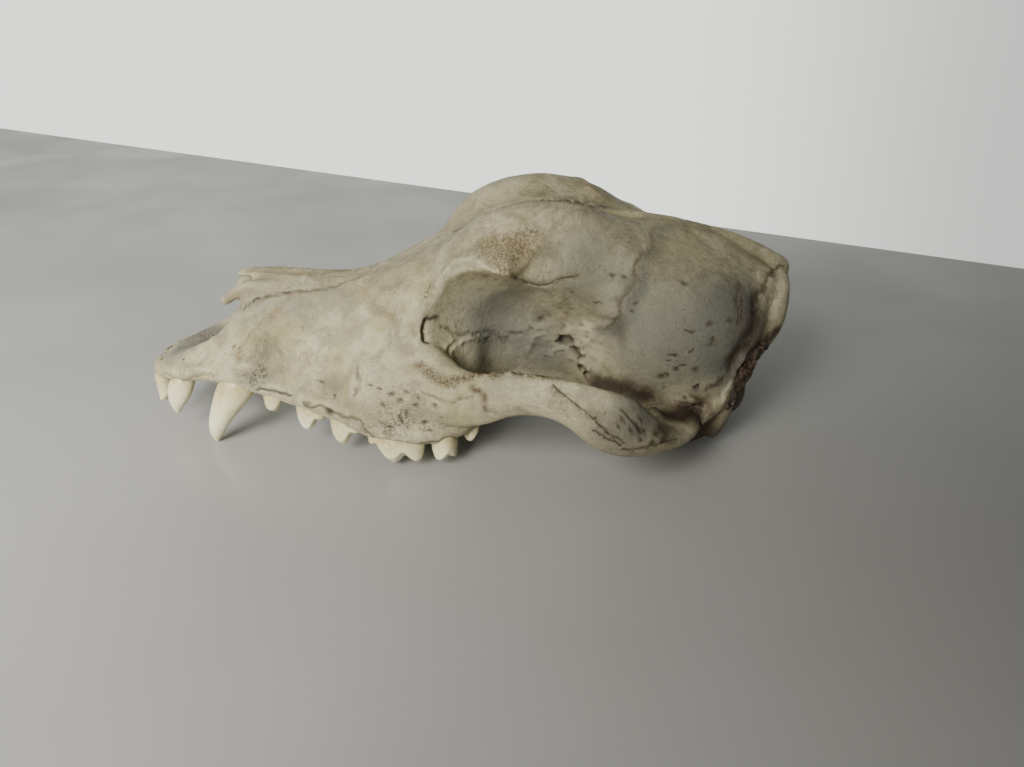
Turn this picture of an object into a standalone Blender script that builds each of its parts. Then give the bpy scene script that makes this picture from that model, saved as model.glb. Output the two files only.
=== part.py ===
"""Dog skull without its lower jaw: one cranium and twenty upper teeth in their sockets.

The skull is modelled in millimetres, with x measured back from the front of the muzzle, y to the
animal's right and z up from the surface that it stands on. The last step scales it to metres and
puts the middle of its length at the origin. Forms that come in pairs are given for the left side,
where y is negative, and repeated for the right.
"""
import math
from collections import namedtuple

import bmesh
import bpy
import numpy as np
from mathutils import Matrix, Vector

METRES_PER_MM = 0.001
LENGTH_MIDDLE = 87.17
SOCKET_GAP = 0.35
SIDES = {"left": 1, "right": -1}

BONE_COLOUR, BONE_ROUGHNESS = (0.60, 0.55, 0.44, 1.0), 0.62
TOOTH_COLOUR, TOOTH_ROUGHNESS = (0.80, 0.76, 0.64, 1.0), 0.28

# Corners round a tube or snout ring, rows of rings for each stretch between given points, how
# square the snout's sections are, and the turns in degrees that round off a tube's end.
RING_POINTS = 28
SNOUT_STEPS, TUBE_STEPS = 4, 5
SNOUT_SQUARENESS = 3.4
END_TURNS = (0, 20, 45, 75)
# A tube whose direction is upright by more than this share is framed from x, not from z.
UPRIGHT_SHARE = 0.8
BALL_DIVISIONS = 4

# Snout stations: x, lowest z, highest z, half width low down, half width at the top.
SNOUT = (
    (-5.0, 17.0, 18.8, 6.0, 5.0),
    (-2.0, 16.6, 20.2, 9.8, 7.2),
    (1.0, 16.4, 21.8, 12.4, 8.6),
    (6.0, 16.8, 24.2, 14.5, 9.5),
    (12.0, 18.2, 27.2, 15.0, 10.0),
    (17.0, 19.0, 30.6, 16.2, 10.0),
    (21.0, 19.0, 34.4, 18.2, 9.8),
    (25.0, 18.4, 39.4, 19.6, 9.4),
    (30.0, 17.4, 45.4, 20.0, 8.6),
    (40.0, 14.6, 46.2, 20.5, 8.2),
    (50.0, 12.2, 45.4, 23.5, 8.6),
    (57.0, 10.6, 45.4, 27.2, 9.6),
    (64.0, 9.4, 46.8, 32.0, 12.6),
    (70.0, 8.8, 49.2, 35.6, 16.5),
    (76.0, 8.6, 52.0, 37.0, 20.5),
    (82.0, 9.0, 54.8, 36.0, 21.0),
    (88.0, 11.0, 57.2, 31.0, 20.0),
    (94.0, 15.0, 57.0, 23.0, 18.0),
)

# Ball forms of one side: centre, radii, tilt about y in degrees. The bulges of the forehead differ.
FRONTAL_BULGES = {
    "left": ((111.5, -11.4, 49.4), (28.0, 11.2, 19.0), 3.0),
    "right": ((111.0, -11.8, 50.6), (29.0, 11.5, 19.8), 3.0),
}
BALLS = {
    "brow": ((95.0, -13.0, 50.5), (15.0, 13.0, 9.0), -8.0),
    "temple": ((127.5, -8.5, 45.5), (20.0, 14.5, 17.5), 0.0),
    "canine jugum": ((27.5, -14.6, 24.5), (7.0, 6.2, 11.0), 32.0),
    "cheek": ((77.0, -24.0, 20.0), (20.0, 10.0, 13.0), 0.0),
    "braincase side": ((147.0, -7.0, 34.0), (26.0, 21.5, 20.5), 0.0),
    "root of the arch": ((136.0, -14.0, 18.5), (15.0, 10.0, 8.5), 0.0),
    "wall over the ear": ((152.0, -17.5, 21.0), (12.0, 9.0, 11.0), 0.0),
    "nape": ((169.0, -4.5, 40.5), (8.0, 9.5, 9.5), 0.0),
}
CENTRE_BALLS = {
    "middle of the forehead": ((112.0, 0.0, 49.0), (27.0, 12.0, 17.0), 0.0),
    "braincase": ((140.0, 0.0, 37.0), (37.0, 23.0, 24.2), 6.0),
    "braincase rear": ((152.0, 0.0, 34.0), (20.0, 25.8, 22.0), 8.0),
    "occiput": ((166.0, 0.0, 27.0), (6.0, 17.0, 17.0), -12.0),
}

# Tubes of one side: x, y, z, half width, half height at each point along it.
ARCH = (
    (80.0, -25.0, 24.0, 7.0, 11.0),
    (87.0, -32.0, 23.5, 5.5, 9.0),
    (94.0, -37.8, 25.4, 3.5, 7.2),
    (102.0, -41.8, 28.7, 2.8, 5.8),
    (111.0, -45.0, 29.9, 2.6, 5.4),
    (119.0, -46.6, 28.2, 2.5, 6.4),
    (127.0, -46.2, 23.6, 3.2, 7.8),
    (133.5, -43.2, 19.0, 5.4, 6.4),
    (139.0, -37.5, 15.0, 7.4, 3.6),
    (143.5, -30.0, 13.0, 8.5, 3.2),
    (148.0, -21.0, 13.0, 8.0, 4.0),
)
TEMPORAL_CREST = (
    (140.0, -37.0, 14.2, 2.2, 2.0),
    (146.2, -31.5, 12.0, 2.0, 2.0),
    (152.5, -27.2, 13.0, 1.9, 2.2),
    (158.0, -23.8, 16.0, 1.8, 2.6),
    (162.5, -20.8, 21.0, 1.8, 2.6),
)
POSTORBITAL = (
    (100.0, -12.0, 56.5, 8.0, 6.0),
    (100.8, -19.0, 55.6, 6.0, 4.4),
    (101.6, -24.5, 54.4, 3.4, 3.0),
    (102.0, -27.0, 53.4, 1.8, 2.0),
)
PROCESS_LOW = (
    (160.0, -20.5, 17.0, 3.0, 4.0),
    (159.3, -20.5, 10.0, 2.4, 3.2),
    (158.5, -19.8, 4.5, 1.5, 2.0),
)
JAW_STOP = (
    (140.0, -33.0, 16.0, 5.5, 2.6),
    (142.0, -32.0, 11.5, 4.5, 2.0),
    (142.5, -31.5, 9.5, 3.0, 1.4),
)
PTERYGOID = (
    (92.0, -11.5, 18.5, 1.6, 5.0),
    (102.0, -9.8, 17.0, 1.4, 6.0),
    (112.0, -9.2, 17.0, 1.3, 6.0),
    (119.0, -8.8, 15.5, 1.2, 5.5),
    (123.5, -8.8, 12.0, 1.0, 3.0),
)
NASAL_TIP = (
    (25.0, 0.0, 45.2, 2.4, 0.9),
    (29.0, 0.0, 45.5, 3.2, 1.0),
    (36.0, 0.0, 44.9, 4.0, 1.2),
)
NASAL_PRONG = (
    (21.2, -6.2, 38.8, 1.0, 1.4),
    (24.5, -6.4, 41.0, 1.2, 1.7),
    (29.0, -6.0, 43.0, 1.6, 1.8),
    (36.0, -5.4, 43.6, 2.0, 1.6),
)
NUCHAL = (
    (176.2, 0.5, 44.2, 3.2, 4.2),
    (175.6, -6.5, 40.0, 2.6, 3.8),
    (173.2, -11.5, 34.5, 2.2, 3.8),
    (169.4, -15.2, 29.3, 1.8, 3.4),
    (165.0, -18.6, 24.5, 1.8, 3.4),
    (161.2, -21.3, 18.0, 2.0, 3.2),
)
ALVEOLAR_RIDGE = (
    (-2.0, -2.5, 18.0, 2.6, 2.4),
    (0.4, -7.6, 18.4, 2.8, 2.5),
    (7.5, -12.2, 19.4, 2.8, 2.6),
    (15.0, -14.8, 21.0, 2.2, 2.6),
    (24.0, -16.8, 21.4, 3.4, 3.4),
    (33.0, -17.8, 18.6, 2.8, 3.2),
    (45.0, -20.6, 15.8, 2.9, 3.1),
    (56.5, -24.6, 13.5, 3.0, 3.2),
    (67.0, -29.4, 11.6, 3.6, 3.3),
    (77.0, -31.0, 11.4, 3.8, 3.3),
    (86.0, -28.4, 11.6, 4.2, 3.4),
    (92.5, -24.8, 13.6, 3.4, 3.4),
)
BULLA = ((150.0, -15.5, 8.4), (11.0, 7.2, 9.0), 0.0)
CONDYLE = ((163.8, -10.5, 13.5), (5.2, 5.4, 7.6), 0.0)
KEEL = (
    (78.0, 0.0, 34.0, 14.0, 18.0),
    (95.0, 0.0, 33.0, 15.0, 21.0),
    (110.0, 0.0, 32.0, 12.5, 23.0),
    (125.0, 0.0, 33.0, 14.5, 19.0),
)
BASE = (
    (112.0, 0.0, 21.0, 9.0, 5.0),
    (130.0, 0.0, 16.0, 11.0, 5.0),
    (150.0, 0.0, 12.5, 13.0, 5.0),
    (164.0, 0.0, 11.0, 11.0, 4.0),
)
SAGITTAL_CREST = (
    (124.0, 0.0, 61.0, 2.4, 2.6),
    (140.0, 0.0, 59.2, 1.8, 2.8),
    (158.0, 0.0, 54.8, 1.6, 3.2),
    (168.0, 0.0, 50.8, 2.2, 3.4),
    (175.8, 0.0, 46.0, 3.6, 4.0),
)

# Hollows of one side. The two wide ones are cut before the bone's forms are rounded off, and again
# with the orbit, so that the three run into each other as one.
TEMPORAL_HOLLOW = (
    (98.0, -38.5, 38.0, 22.0, 12.0),
    (104.0, -37.5, 38.0, 24.0, 16.5),
    (112.0, -39.0, 35.5, 26.5, 17.5),
    (119.0, -42.0, 31.5, 27.0, 16.5),
    (126.0, -44.5, 27.0, 19.0, 12.5),
    (133.0, -45.0, 25.0, 11.0, 9.0),
)
LOWER_GAP = (
    (91.0, -34.0, 31.0, 14.5, 9.0),
    (99.5, -35.0, 24.5, 19.0, 14.5),
    (107.0, -34.0, 21.0, 22.0, 19.5),
    (116.0, -35.0, 17.5, 22.5, 20.0),
    (125.0, -38.0, 13.0, 20.0, 16.0),
)
ORBIT = (
    (75.5, -32.5, 43.0, 6.5, 9.0),
    (82.0, -33.5, 43.0, 11.5, 13.5),
    (90.0, -34.0, 42.3, 16.0, 16.5),
    (98.0, -35.5, 39.5, 19.5, 16.0),
    (105.0, -39.0, 38.0, 24.0, 14.5),
    (111.0, -43.0, 34.0, 22.0, 9.0),
)
NASAL_HOLLOW = (
    (-1.0, 0.0, 27.5, 5.0, 5.5),
    (8.0, 0.0, 29.0, 7.5, 7.5),
    (16.0, 0.0, 31.5, 8.6, 10.5),
    (26.0, 0.0, 32.0, 9.0, 11.8),
    (40.0, 0.0, 31.0, 9.0, 11.5),
    (56.0, 0.0, 29.0, 8.0, 10.0),
)
THROAT_HOLLOW = (
    (76.0, 0.0, 19.0, 5.0, 4.0),
    (92.0, 0.0, 17.0, 7.2, 6.0),
    (104.0, 0.0, 12.0, 7.6, 8.0),
    (116.0, 0.0, 8.0, 7.4, 9.0),
    (126.0, 0.0, 4.0, 7.0, 8.0),
)
BRAIN_HOLLOW = (
    (182.0, 0.0, 20.0, 8.0, 8.5),
    (166.0, 0.0, 22.0, 7.6, 8.0),
    (157.0, 0.0, 27.0, 11.0, 10.0),
    (146.0, 0.0, 33.0, 14.0, 13.0),
)

Tooth = namedtuple("Tooth", "neck half_long half_wide turn root cusps")
# Neck centre, half length along the row, half width, turn of the row in degrees, root depth,
# and for each cusp its place along and across from the neck, its drop and its reach.
# The first cusp is the main one. Cusps across at plus lie towards the lips.
TEETH = {
    "incisor_1": Tooth((-2.8, -2.5, 15.7), 1.9, 2.2, -84.0, 4.5, ((0.0, 2.2, 7.6, 2.8),)),
    "incisor_2": Tooth((-0.9, -6.9, 15.9), 2.1, 2.4, -66.0, 4.5, ((0.0, 2.3, 9.0, 3.0),)),
    "premolar_1": Tooth((36.0, -18.4, 15.4), 2.7, 1.9, -8.0, 3.5, ((-0.9, 0.2, 5.4, 2.6),)),
    "premolar_2": Tooth((46.1, -21.0, 13.3), 4.4, 2.2, -14.0, 4.0,
                        ((-1.1, 0.4, 6.9, 3.6), (2.6, 0.2, 3.4, 2.0))),
    "premolar_3": Tooth((56.6, -24.7, 11.6), 4.8, 2.4, -18.0, 4.0,
                        ((-1.1, 0.4, 7.4, 3.9), (2.9, 0.2, 3.6, 2.2))),
    "premolar_4": Tooth((71.2, -30.0, 9.8), 8.0, 3.7, -10.0, 4.5,
                        ((-1.0, 0.8, 9.2, 4.8), (5.0, 0.9, 7.4, 4.0), (-5.8, -0.9, 3.4, 2.6))),
    "molar_1": Tooth((83.7, -26.3, 10.4), 3.9, 6.6, 14.0, 4.0,
                     ((-1.4, 3.9, 9.8, 4.2), (2.0, 4.3, 8.0, 3.4), (0.2, -3.4, 6.0, 4.6))),
    "molar_2": Tooth((90.9, -23.6, 11.8), 2.8, 4.4, 22.0, 3.5,
                     ((-0.8, 2.4, 6.2, 2.8), (0.4, -2.0, 4.4, 3.0))),
}
# Curved single-point teeth: x, y, z, half width, half length from the root's end to the tip.
FANGS = {
    "incisor_3": ((10.6, -10.6, 21.5, 1.5, 2.0), (9.0, -11.9, 17.8, 2.3, 3.0),
                  (7.4, -13.1, 13.6, 2.5, 3.2), (5.9, -13.5, 9.8, 1.7, 2.1),
                  (4.8, -13.3, 6.9, 0.5, 0.6)),
    "canine": ((32.5, -12.4, 27.0, 2.2, 3.2), (29.2, -14.2, 23.2, 3.0, 4.5),
               (25.0, -17.2, 17.5, 3.6, 5.1), (20.3, -18.7, 9.8, 2.8, 3.7),
               (17.5, -18.9, 4.0, 1.7, 2.2), (16.2, -18.4, 0.6, 0.6, 0.6)),
}
TOOTH_SEGMENTS = 10
# How far a root leans in under the bone for each millimetre that it rises.
ROOT_LEAN = 0.45
# Share of the root's height and share of the neck's size there, from the root's end to the neck.
ROOT_TAPER = ((1.0, 0.62), (0.5, 0.85), (0.0, 1.0))
# Shares of the neck's size at each ring of the crown, and the drop of its rim between cusps.
CROWN_RINGS = (0.94, 0.72, 0.46, 0.2)
CROWN_RIM, CUSP_SHARPNESS = 1.6, 1.2
SOCKET_LIP = 3.6

# Grain in millimetres at which forms are joined, and rounds of softening after it.
MASS_VOXEL, MASS_ROUNDS = 1.3, 36
HOLLOW_VOXEL, WIDE_HOLLOW_ROUNDS, ORBIT_ROUNDS, PASSAGE_ROUNDS = 1.3, 6, 14, 4
DETAIL_VOXEL, DETAIL_ROUNDS = 0.9, 5
CRANIUM_TRIANGLES = 4200
GROUND_BLOCK = 400.0
SHARP_ANGLE = 40.0


def clear_scene():
    """Removes whatever the scene starts with."""
    for item in list(bpy.data.objects):
        bpy.data.objects.remove(item, do_unlink=True)


def make_material(name, colour, roughness):
    """Makes a plain, non-metallic surface."""
    material = bpy.data.materials.new(name)
    material.use_nodes = True
    shader = material.node_tree.nodes["Principled BSDF"]
    shader.inputs["Base Color"].default_value = colour
    shader.inputs["Roughness"].default_value = roughness
    shader.inputs["Metallic"].default_value = 0.0
    return material


def smooth_path(points, steps):
    """Reads a Catmull-Rom curve through rows of numbers, a few rows for each stretch."""
    rows = np.asarray(points, dtype=float)
    padded = np.vstack([2 * rows[0] - rows[1], rows, 2 * rows[-1] - rows[-2]])
    curve = []
    for start in range(len(rows) - 1):
        before, here, there, after = padded[start:start + 4]
        for step in range(steps):
            t = step / steps
            curve.append(0.5 * (2 * here + (there - before) * t
                                + (2 * before - 5 * here + 4 * there - after) * t ** 2
                                + (3 * here - before - 3 * there + after) * t ** 3))
    curve.append(rows[-1])
    return np.array(curve)


def around(count):
    """Angles evenly round a circle."""
    return np.linspace(0, 2 * math.pi, count, endpoint=False)


def skin_rings(mesh, rings, tip=None):
    """Bridges rings of equal length into one closed skin, flat at the ends or drawn to a tip."""
    loops = [[mesh.verts.new(Vector(point)) for point in ring] for ring in rings]
    for near, far in zip(loops, loops[1:]):
        for index in range(len(near)):
            following = (index + 1) % len(near)
            mesh.faces.new((near[index], near[following], far[following], far[index]))
    mesh.faces.new(list(reversed(loops[0])))
    if tip is None:
        mesh.faces.new(loops[-1])
        return
    point = mesh.verts.new(Vector(tip))
    for index, corner in enumerate(loops[-1]):
        mesh.faces.new((corner, loops[-1][(index + 1) % len(loops[-1])], point))


def rounded(value):
    """A sine or cosine pushed outwards, so that a circle of them becomes a rounded square."""
    return math.copysign(abs(value) ** (2 / SNOUT_SQUARENESS), value)


def add_snout(mesh):
    """Lofts the snout's rounded, tapering cross-sections along x."""
    rings = []
    for x, low, high, half_low, half_high in smooth_path(SNOUT, SNOUT_STEPS):
        ring = []
        for angle in around(RING_POINTS):
            across, rise = rounded(math.cos(angle)), rounded(math.sin(angle))
            half = half_low + (half_high - half_low) * (rise + 1) / 2
            ring.append((x, across * half, (low + high) / 2 + rise * (high - low) / 2))
        rings.append(ring)
    skin_rings(mesh, rings)


def add_tube(mesh, points, side=1, steps=TUBE_STEPS, corners=RING_POINTS, grow=0.0):
    """Sweeps an ellipse along a smooth path and rounds both ends."""
    path = smooth_path(points, steps)
    centres, sizes = path[:, :3] * (1, side, 1), path[:, 3:5] + grow
    ahead = np.gradient(centres, axis=0)
    ahead /= np.linalg.norm(ahead, axis=1)[:, None]
    upright = abs(ahead[:, 2]).mean() > UPRIGHT_SHARE
    reference = Vector((1, 0, 0)) if upright else Vector((0, 0, 1))
    end_turns = {0: [-turn for turn in reversed(END_TURNS)], len(path) - 1: END_TURNS}
    rings = []
    for index, (centre, size, along) in enumerate(zip(centres, sizes, ahead)):
        along = Vector(along)
        across = along.cross(reference).normalized()
        rise = across.cross(along)
        for turn in map(math.radians, end_turns.get(index, (0,))):
            middle = Vector(centre) + along * min(size) * math.sin(turn)
            rings.append([middle + across * size[0] * math.cos(turn) * math.cos(angle)
                          + rise * size[1] * math.cos(turn) * math.sin(angle)
                          for angle in around(corners)])
    skin_rings(mesh, rings)


def add_ball(mesh, centre, radii, tilt=0.0, side=1):
    """Adds an ellipsoid, tilted by an angle about the y axis."""
    place = (Matrix.Translation((centre[0], centre[1] * side, centre[2]))
             @ Matrix.Rotation(math.radians(tilt), 4, "Y") @ Matrix.Diagonal((*radii, 1.0)))
    bmesh.ops.create_icosphere(mesh, subdivisions=BALL_DIVISIONS, radius=1.0, matrix=place)


def crown_drop(tooth, along, across, edge):
    """How far the crown hangs below its neck at one place, from its cusps and its low rim."""
    drop = CROWN_RIM * (1 - edge ** 3)
    for cusp_along, cusp_across, cusp_drop, reach in tooth.cusps:
        away = math.hypot(along - cusp_along, across - cusp_across) / reach
        drop = max(drop, cusp_drop * max(0.0, 1 - away ** CUSP_SHARPNESS))
    return drop


def tooth_place(tooth, side, along, across, rise):
    """A point of a tooth, from its place along and across the row and above the neck."""
    turn = math.radians(tooth.turn)
    back = Vector((math.cos(turn), math.sin(turn), 0.0))
    lips = Vector((math.sin(turn), -math.cos(turn), 0.0))
    lean = ROOT_LEAN * max(0.0, rise)
    point = Vector(tooth.neck) + back * along + lips * (across - lean)
    return point.x, point.y * side, point.z + rise


def oval(tooth, side, scale, rise, gap=0.0):
    """One level oval ring of a tooth, or of its socket when there is a gap round it."""
    half_long, half_wide = tooth.half_long * scale + gap, tooth.half_wide * scale + gap
    return [tooth_place(tooth, side, half_long * math.cos(angle), half_wide * math.sin(angle), rise)
            for angle in around(TOOTH_SEGMENTS)]


def add_tooth(mesh, tooth, side):
    """Builds a rooted tooth: a tapering root, an oval neck and a crown drawn to its cusps."""
    rings = [oval(tooth, side, scale, tooth.root * level) for level, scale in ROOT_TAPER]
    peak_along, peak_across, peak_drop, _ = tooth.cusps[0]
    for edge in CROWN_RINGS:
        ring = []
        for angle in around(TOOTH_SEGMENTS):
            along = peak_along + edge * (tooth.half_long * math.cos(angle) - peak_along)
            across = peak_across + edge * (tooth.half_wide * math.sin(angle) - peak_across)
            drop = crown_drop(tooth, along, across, edge)
            ring.append(tooth_place(tooth, side, along, across, -drop))
        rings.append(ring)
    skin_rings(mesh, rings, tooth_place(tooth, side, peak_along, peak_across, -peak_drop))


def add_socket(mesh, tooth, side):
    """Builds the form taken away for a socket: the root and neck, a gap wider all round."""
    rings = [oval(tooth, side, scale, tooth.root * level + (SOCKET_GAP if level == 1.0 else 0.0),
                  SOCKET_GAP) for level, scale in ROOT_TAPER]
    rings.append(oval(tooth, side, 1.0, -SOCKET_LIP, SOCKET_GAP))
    skin_rings(mesh, rings)


def object_from(name, mesh, material=None):
    """Turns a bmesh into a linked object, with every face pointing out."""
    bmesh.ops.recalc_face_normals(mesh, faces=mesh.faces)
    data = bpy.data.meshes.new(name)
    mesh.to_mesh(data)
    mesh.free()
    item = bpy.data.objects.new(name, data)
    bpy.context.scene.collection.objects.link(item)
    if material:
        data.materials.append(material)
    return item


def bake_modifiers(item):
    """Keeps an object's evaluated mesh in place of its modifiers."""
    evaluated = item.evaluated_get(bpy.context.evaluated_depsgraph_get())
    data = bpy.data.meshes.new_from_object(evaluated)
    item.modifiers.clear()
    item.data = data
    return item


def fuse(item, voxel, rounds):
    """Joins overlapping forms into one skin and rounds the creases between them."""
    skin = item.modifiers.new("fuse", "REMESH")
    skin.mode = "VOXEL"
    skin.voxel_size = voxel
    soften = item.modifiers.new("soften", "SMOOTH")
    soften.factor = 0.5
    soften.iterations = rounds
    return bake_modifiers(item)


def take_away(item, cutter):
    """Takes one closed object away from another."""
    cutter.hide_render = True
    cutter.display_type = "WIRE"
    take = item.modifiers.new(cutter.name, "BOOLEAN")
    take.operation = "DIFFERENCE"
    take.solver = "EXACT"
    take.object = cutter
    bake_modifiers(item)
    bpy.data.objects.remove(cutter, do_unlink=True)


def hollow_out(item, paths, rounds):
    """Cuts tube-shaped hollows that run into each other, with their creases rounded."""
    mesh = bmesh.new()
    for path, side in paths:
        add_tube(mesh, path, side)
    take_away(item, fuse(object_from("hollow", mesh), HOLLOW_VOXEL, rounds))


def on_both_sides(*paths):
    """Pairs each path with each side."""
    return [(path, side) for path in paths for side in SIDES.values()]


def bone_mass():
    """The large rounded forms: snout, cheeks, frontal bulges and braincase."""
    mesh = bmesh.new()
    add_snout(mesh)
    for side_name, side in SIDES.items():
        for centre, radii, tilt in (FRONTAL_BULGES[side_name], *BALLS.values()):
            add_ball(mesh, centre, radii, tilt, side)
        add_tube(mesh, POSTORBITAL, side)
        add_tube(mesh, ALVEOLAR_RIDGE, side)
    for centre, radii, tilt in CENTRE_BALLS.values():
        add_ball(mesh, centre, radii, tilt)
    add_tube(mesh, KEEL)
    add_tube(mesh, BASE)
    mass = fuse(object_from("mass", mesh), MASS_VOXEL, 0)
    hollow_out(mass, on_both_sides(TEMPORAL_HOLLOW, LOWER_GAP), WIDE_HOLLOW_ROUNDS)
    return fuse(mass, MASS_VOXEL, MASS_ROUNDS)


def add_processes(mass):
    """Adds the arches, crests, processes and base knobs, and fuses them with the mass."""
    mesh = bmesh.new()
    mesh.from_mesh(mass.data)
    bpy.data.objects.remove(mass, do_unlink=True)
    for path, side in on_both_sides(ARCH, ALVEOLAR_RIDGE, TEMPORAL_CREST, PROCESS_LOW, JAW_STOP,
                                    PTERYGOID, NUCHAL, NASAL_PRONG):
        add_tube(mesh, path, side)
    for side in SIDES.values():
        add_ball(mesh, *BULLA, side)
        add_ball(mesh, *CONDYLE, side)
    add_tube(mesh, SAGITTAL_CREST)
    add_tube(mesh, NASAL_TIP)
    return fuse(object_from("cranium", mesh), DETAIL_VOXEL, DETAIL_ROUNDS)


def thin_out(item, triangles):
    """Brings a closed skin down to a number of triangles."""
    item.data.calc_loop_triangles()
    fewer = item.modifiers.new("thin out", "DECIMATE")
    fewer.ratio = min(1.0, triangles / len(item.data.loop_triangles))
    fewer.use_collapse_triangulate = True
    bake_modifiers(item)


def build_cranium(material):
    """Makes the cranium, without its sockets, in millimetres."""
    mass = bone_mass()
    hollow_out(mass, on_both_sides(ORBIT, TEMPORAL_HOLLOW, LOWER_GAP), ORBIT_ROUNDS)
    hollow_out(mass, [(path, 1) for path in (NASAL_HOLLOW, THROAT_HOLLOW, BRAIN_HOLLOW)],
               PASSAGE_ROUNDS)
    cranium = add_processes(mass)
    thin_out(cranium, CRANIUM_TRIANGLES)
    cranium.data.materials.clear()
    cranium.data.materials.append(material)
    return cranium


def cut_sockets(cranium):
    """Cuts a socket for each tooth, a small gap wider than the tooth."""
    for side in SIDES.values():
        for tooth in TEETH.values():
            mesh = bmesh.new()
            add_socket(mesh, tooth, side)
            take_away(cranium, object_from("socket", mesh))
        for path in FANGS.values():
            mesh = bmesh.new()
            add_tube(mesh, path, side, 1, TOOTH_SEGMENTS, SOCKET_GAP)
            take_away(cranium, object_from("socket", mesh))


def flatten_underside(cranium):
    """Cuts off what reaches below the resting plane, which leaves a flat under each bulla."""
    mesh = bmesh.new()
    bmesh.ops.create_cube(mesh, size=1.0,
                          matrix=Matrix.Translation((LENGTH_MIDDLE, 0.0, -GROUND_BLOCK / 2))
                          @ Matrix.Scale(GROUND_BLOCK, 4))
    take_away(cranium, object_from("ground", mesh))


def build_teeth(material):
    """Makes each tooth of both sides, in millimetres."""
    teeth = []
    for side_name, side in SIDES.items():
        for name, tooth in TEETH.items():
            mesh = bmesh.new()
            add_tooth(mesh, tooth, side)
            teeth.append(object_from(f"{side_name}_{name}", mesh, material))
        for name, path in FANGS.items():
            mesh = bmesh.new()
            add_tube(mesh, path, side, 1, TOOTH_SEGMENTS)
            teeth.append(object_from(f"{side_name}_{name}", mesh, material))
    return teeth


def finish(item):
    """Scales a mesh to metres, centres its length on the origin and shades it smooth."""
    item.data.transform(Matrix.Scale(METRES_PER_MM, 4)
                        @ Matrix.Translation((-LENGTH_MIDDLE, 0.0, 0.0)))
    item.data.shade_smooth()
    item.data.set_sharp_from_angle(angle=math.radians(SHARP_ANGLE))


def main():
    """Builds the skull."""
    clear_scene()
    cranium = build_cranium(make_material("bone", BONE_COLOUR, BONE_ROUGHNESS))
    cut_sockets(cranium)
    flatten_underside(cranium)
    teeth = build_teeth(make_material("tooth", TOOTH_COLOUR, TOOTH_ROUGHNESS))
    for item in (cranium, *teeth):
        finish(item)


main()
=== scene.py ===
"""Looks of the dog skull: one grown cranium, twenty teeth in their sockets and a dried fringe.

Sizes are in millimetres in the skull's own frame: x runs back from the front of the muzzle, y to
the animal's right and z up from the table. The last step of each piece scales it to metres and
puts the middle of the skull's length at the origin. Forms that come in pairs are given for the
left side, where y is negative.
"""
import logging
import math
from dataclasses import dataclass, field, fields, replace
from enum import Enum
from typing import Callable, Iterable, Optional, Sequence

import bmesh
import bpy
import numpy as np
from mathutils import Matrix, Vector, kdtree, noise


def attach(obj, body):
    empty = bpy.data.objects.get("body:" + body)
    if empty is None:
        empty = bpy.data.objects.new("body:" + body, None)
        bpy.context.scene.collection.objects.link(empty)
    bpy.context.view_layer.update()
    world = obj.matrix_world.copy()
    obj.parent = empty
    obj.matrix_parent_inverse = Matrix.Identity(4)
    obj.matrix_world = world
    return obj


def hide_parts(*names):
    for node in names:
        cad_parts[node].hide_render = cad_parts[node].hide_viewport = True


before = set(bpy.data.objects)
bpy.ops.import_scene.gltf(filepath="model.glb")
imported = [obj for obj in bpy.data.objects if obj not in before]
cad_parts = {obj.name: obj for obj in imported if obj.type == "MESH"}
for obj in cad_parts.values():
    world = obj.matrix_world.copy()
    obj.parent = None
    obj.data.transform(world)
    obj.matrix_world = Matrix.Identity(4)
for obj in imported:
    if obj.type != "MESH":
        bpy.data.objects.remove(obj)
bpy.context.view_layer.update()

METRES_PER_MM = 0.001
LENGTH_MIDDLE = 87.17
SOCKET_GAP = 0.35
RING_POINTS = 28
# Without a seed of its own, Blender's noise vector takes one from the clock in each run.
NOISE_SEED = 3

Row = tuple[float, ...]
Table = tuple[Row, ...]
Curve = Callable[[np.ndarray], np.ndarray]
log = logging.getLogger("dog_skull")


class Side(Enum):
    """Which half of the skull a form belongs to; the value turns left-hand y into this side's y."""

    LEFT = 1.0
    RIGHT = -1.0

    @property
    def word(self) -> str:
        """The side's name in lower case."""
        return self.name.lower()

    def flip(self, point: Row) -> Row:
        """A left-hand point or direction moved to this side."""
        return point[0], point[1] * self.value, point[2]


class Grain(Enum):
    """Voxel size in millimetres and rounds of softening for each stage of the bone."""

    MASS = (1.3, 36)
    JOINED = (1.3, 0)
    WIDE_HOLLOW = (1.3, 6)
    ORBIT = (1.3, 14)
    PASSAGE = (1.3, 4)
    SKIN = (0.56, 12)
    QUICK_SKIN = (0.9, 5)
    TISSUE = (0.28, 1)


def smooth_path(points: Sequence[Row], steps: int) -> np.ndarray:
    """Reads a Catmull-Rom curve through rows of numbers.

    Args:
        points: rows of equal length, such as x, y, z, half width, half height.
        steps: rows to read for each stretch between two given rows.

    Returns:
        The rows read along the curve, the last given row included.
    """
    rows = np.asarray(points, dtype=float)
    padded = np.vstack([2 * rows[0] - rows[1], rows, 2 * rows[-1] - rows[-2]])
    curve = []
    for start in range(len(rows) - 1):
        before, here, there, after = padded[start:start + 4]
        for step in range(steps):
            t = step / steps
            curve.append(0.5 * (2 * here + (there - before) * t
                                + (2 * before - 5 * here + 4 * there - after) * t ** 2
                                + (3 * here - before - 3 * there + after) * t ** 3))
    curve.append(rows[-1])
    return np.array(curve)


def around(count: int) -> np.ndarray:
    """Angles evenly round a circle."""
    return np.linspace(0, 2 * math.pi, count, endpoint=False)


def bell(share: np.ndarray) -> np.ndarray:
    """A smooth hump: one at zero, nothing at one and beyond."""
    held = np.clip(share, 0.0, 1.0)
    return (1 - held ** 2) ** 2


def both_sides(points: Sequence[Row]) -> list[Table]:
    """The given left-hand rows and their mirror image on the right."""
    return [tuple((row[0], row[1] * side.value, *row[2:]) for row in points) for side in Side]


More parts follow.
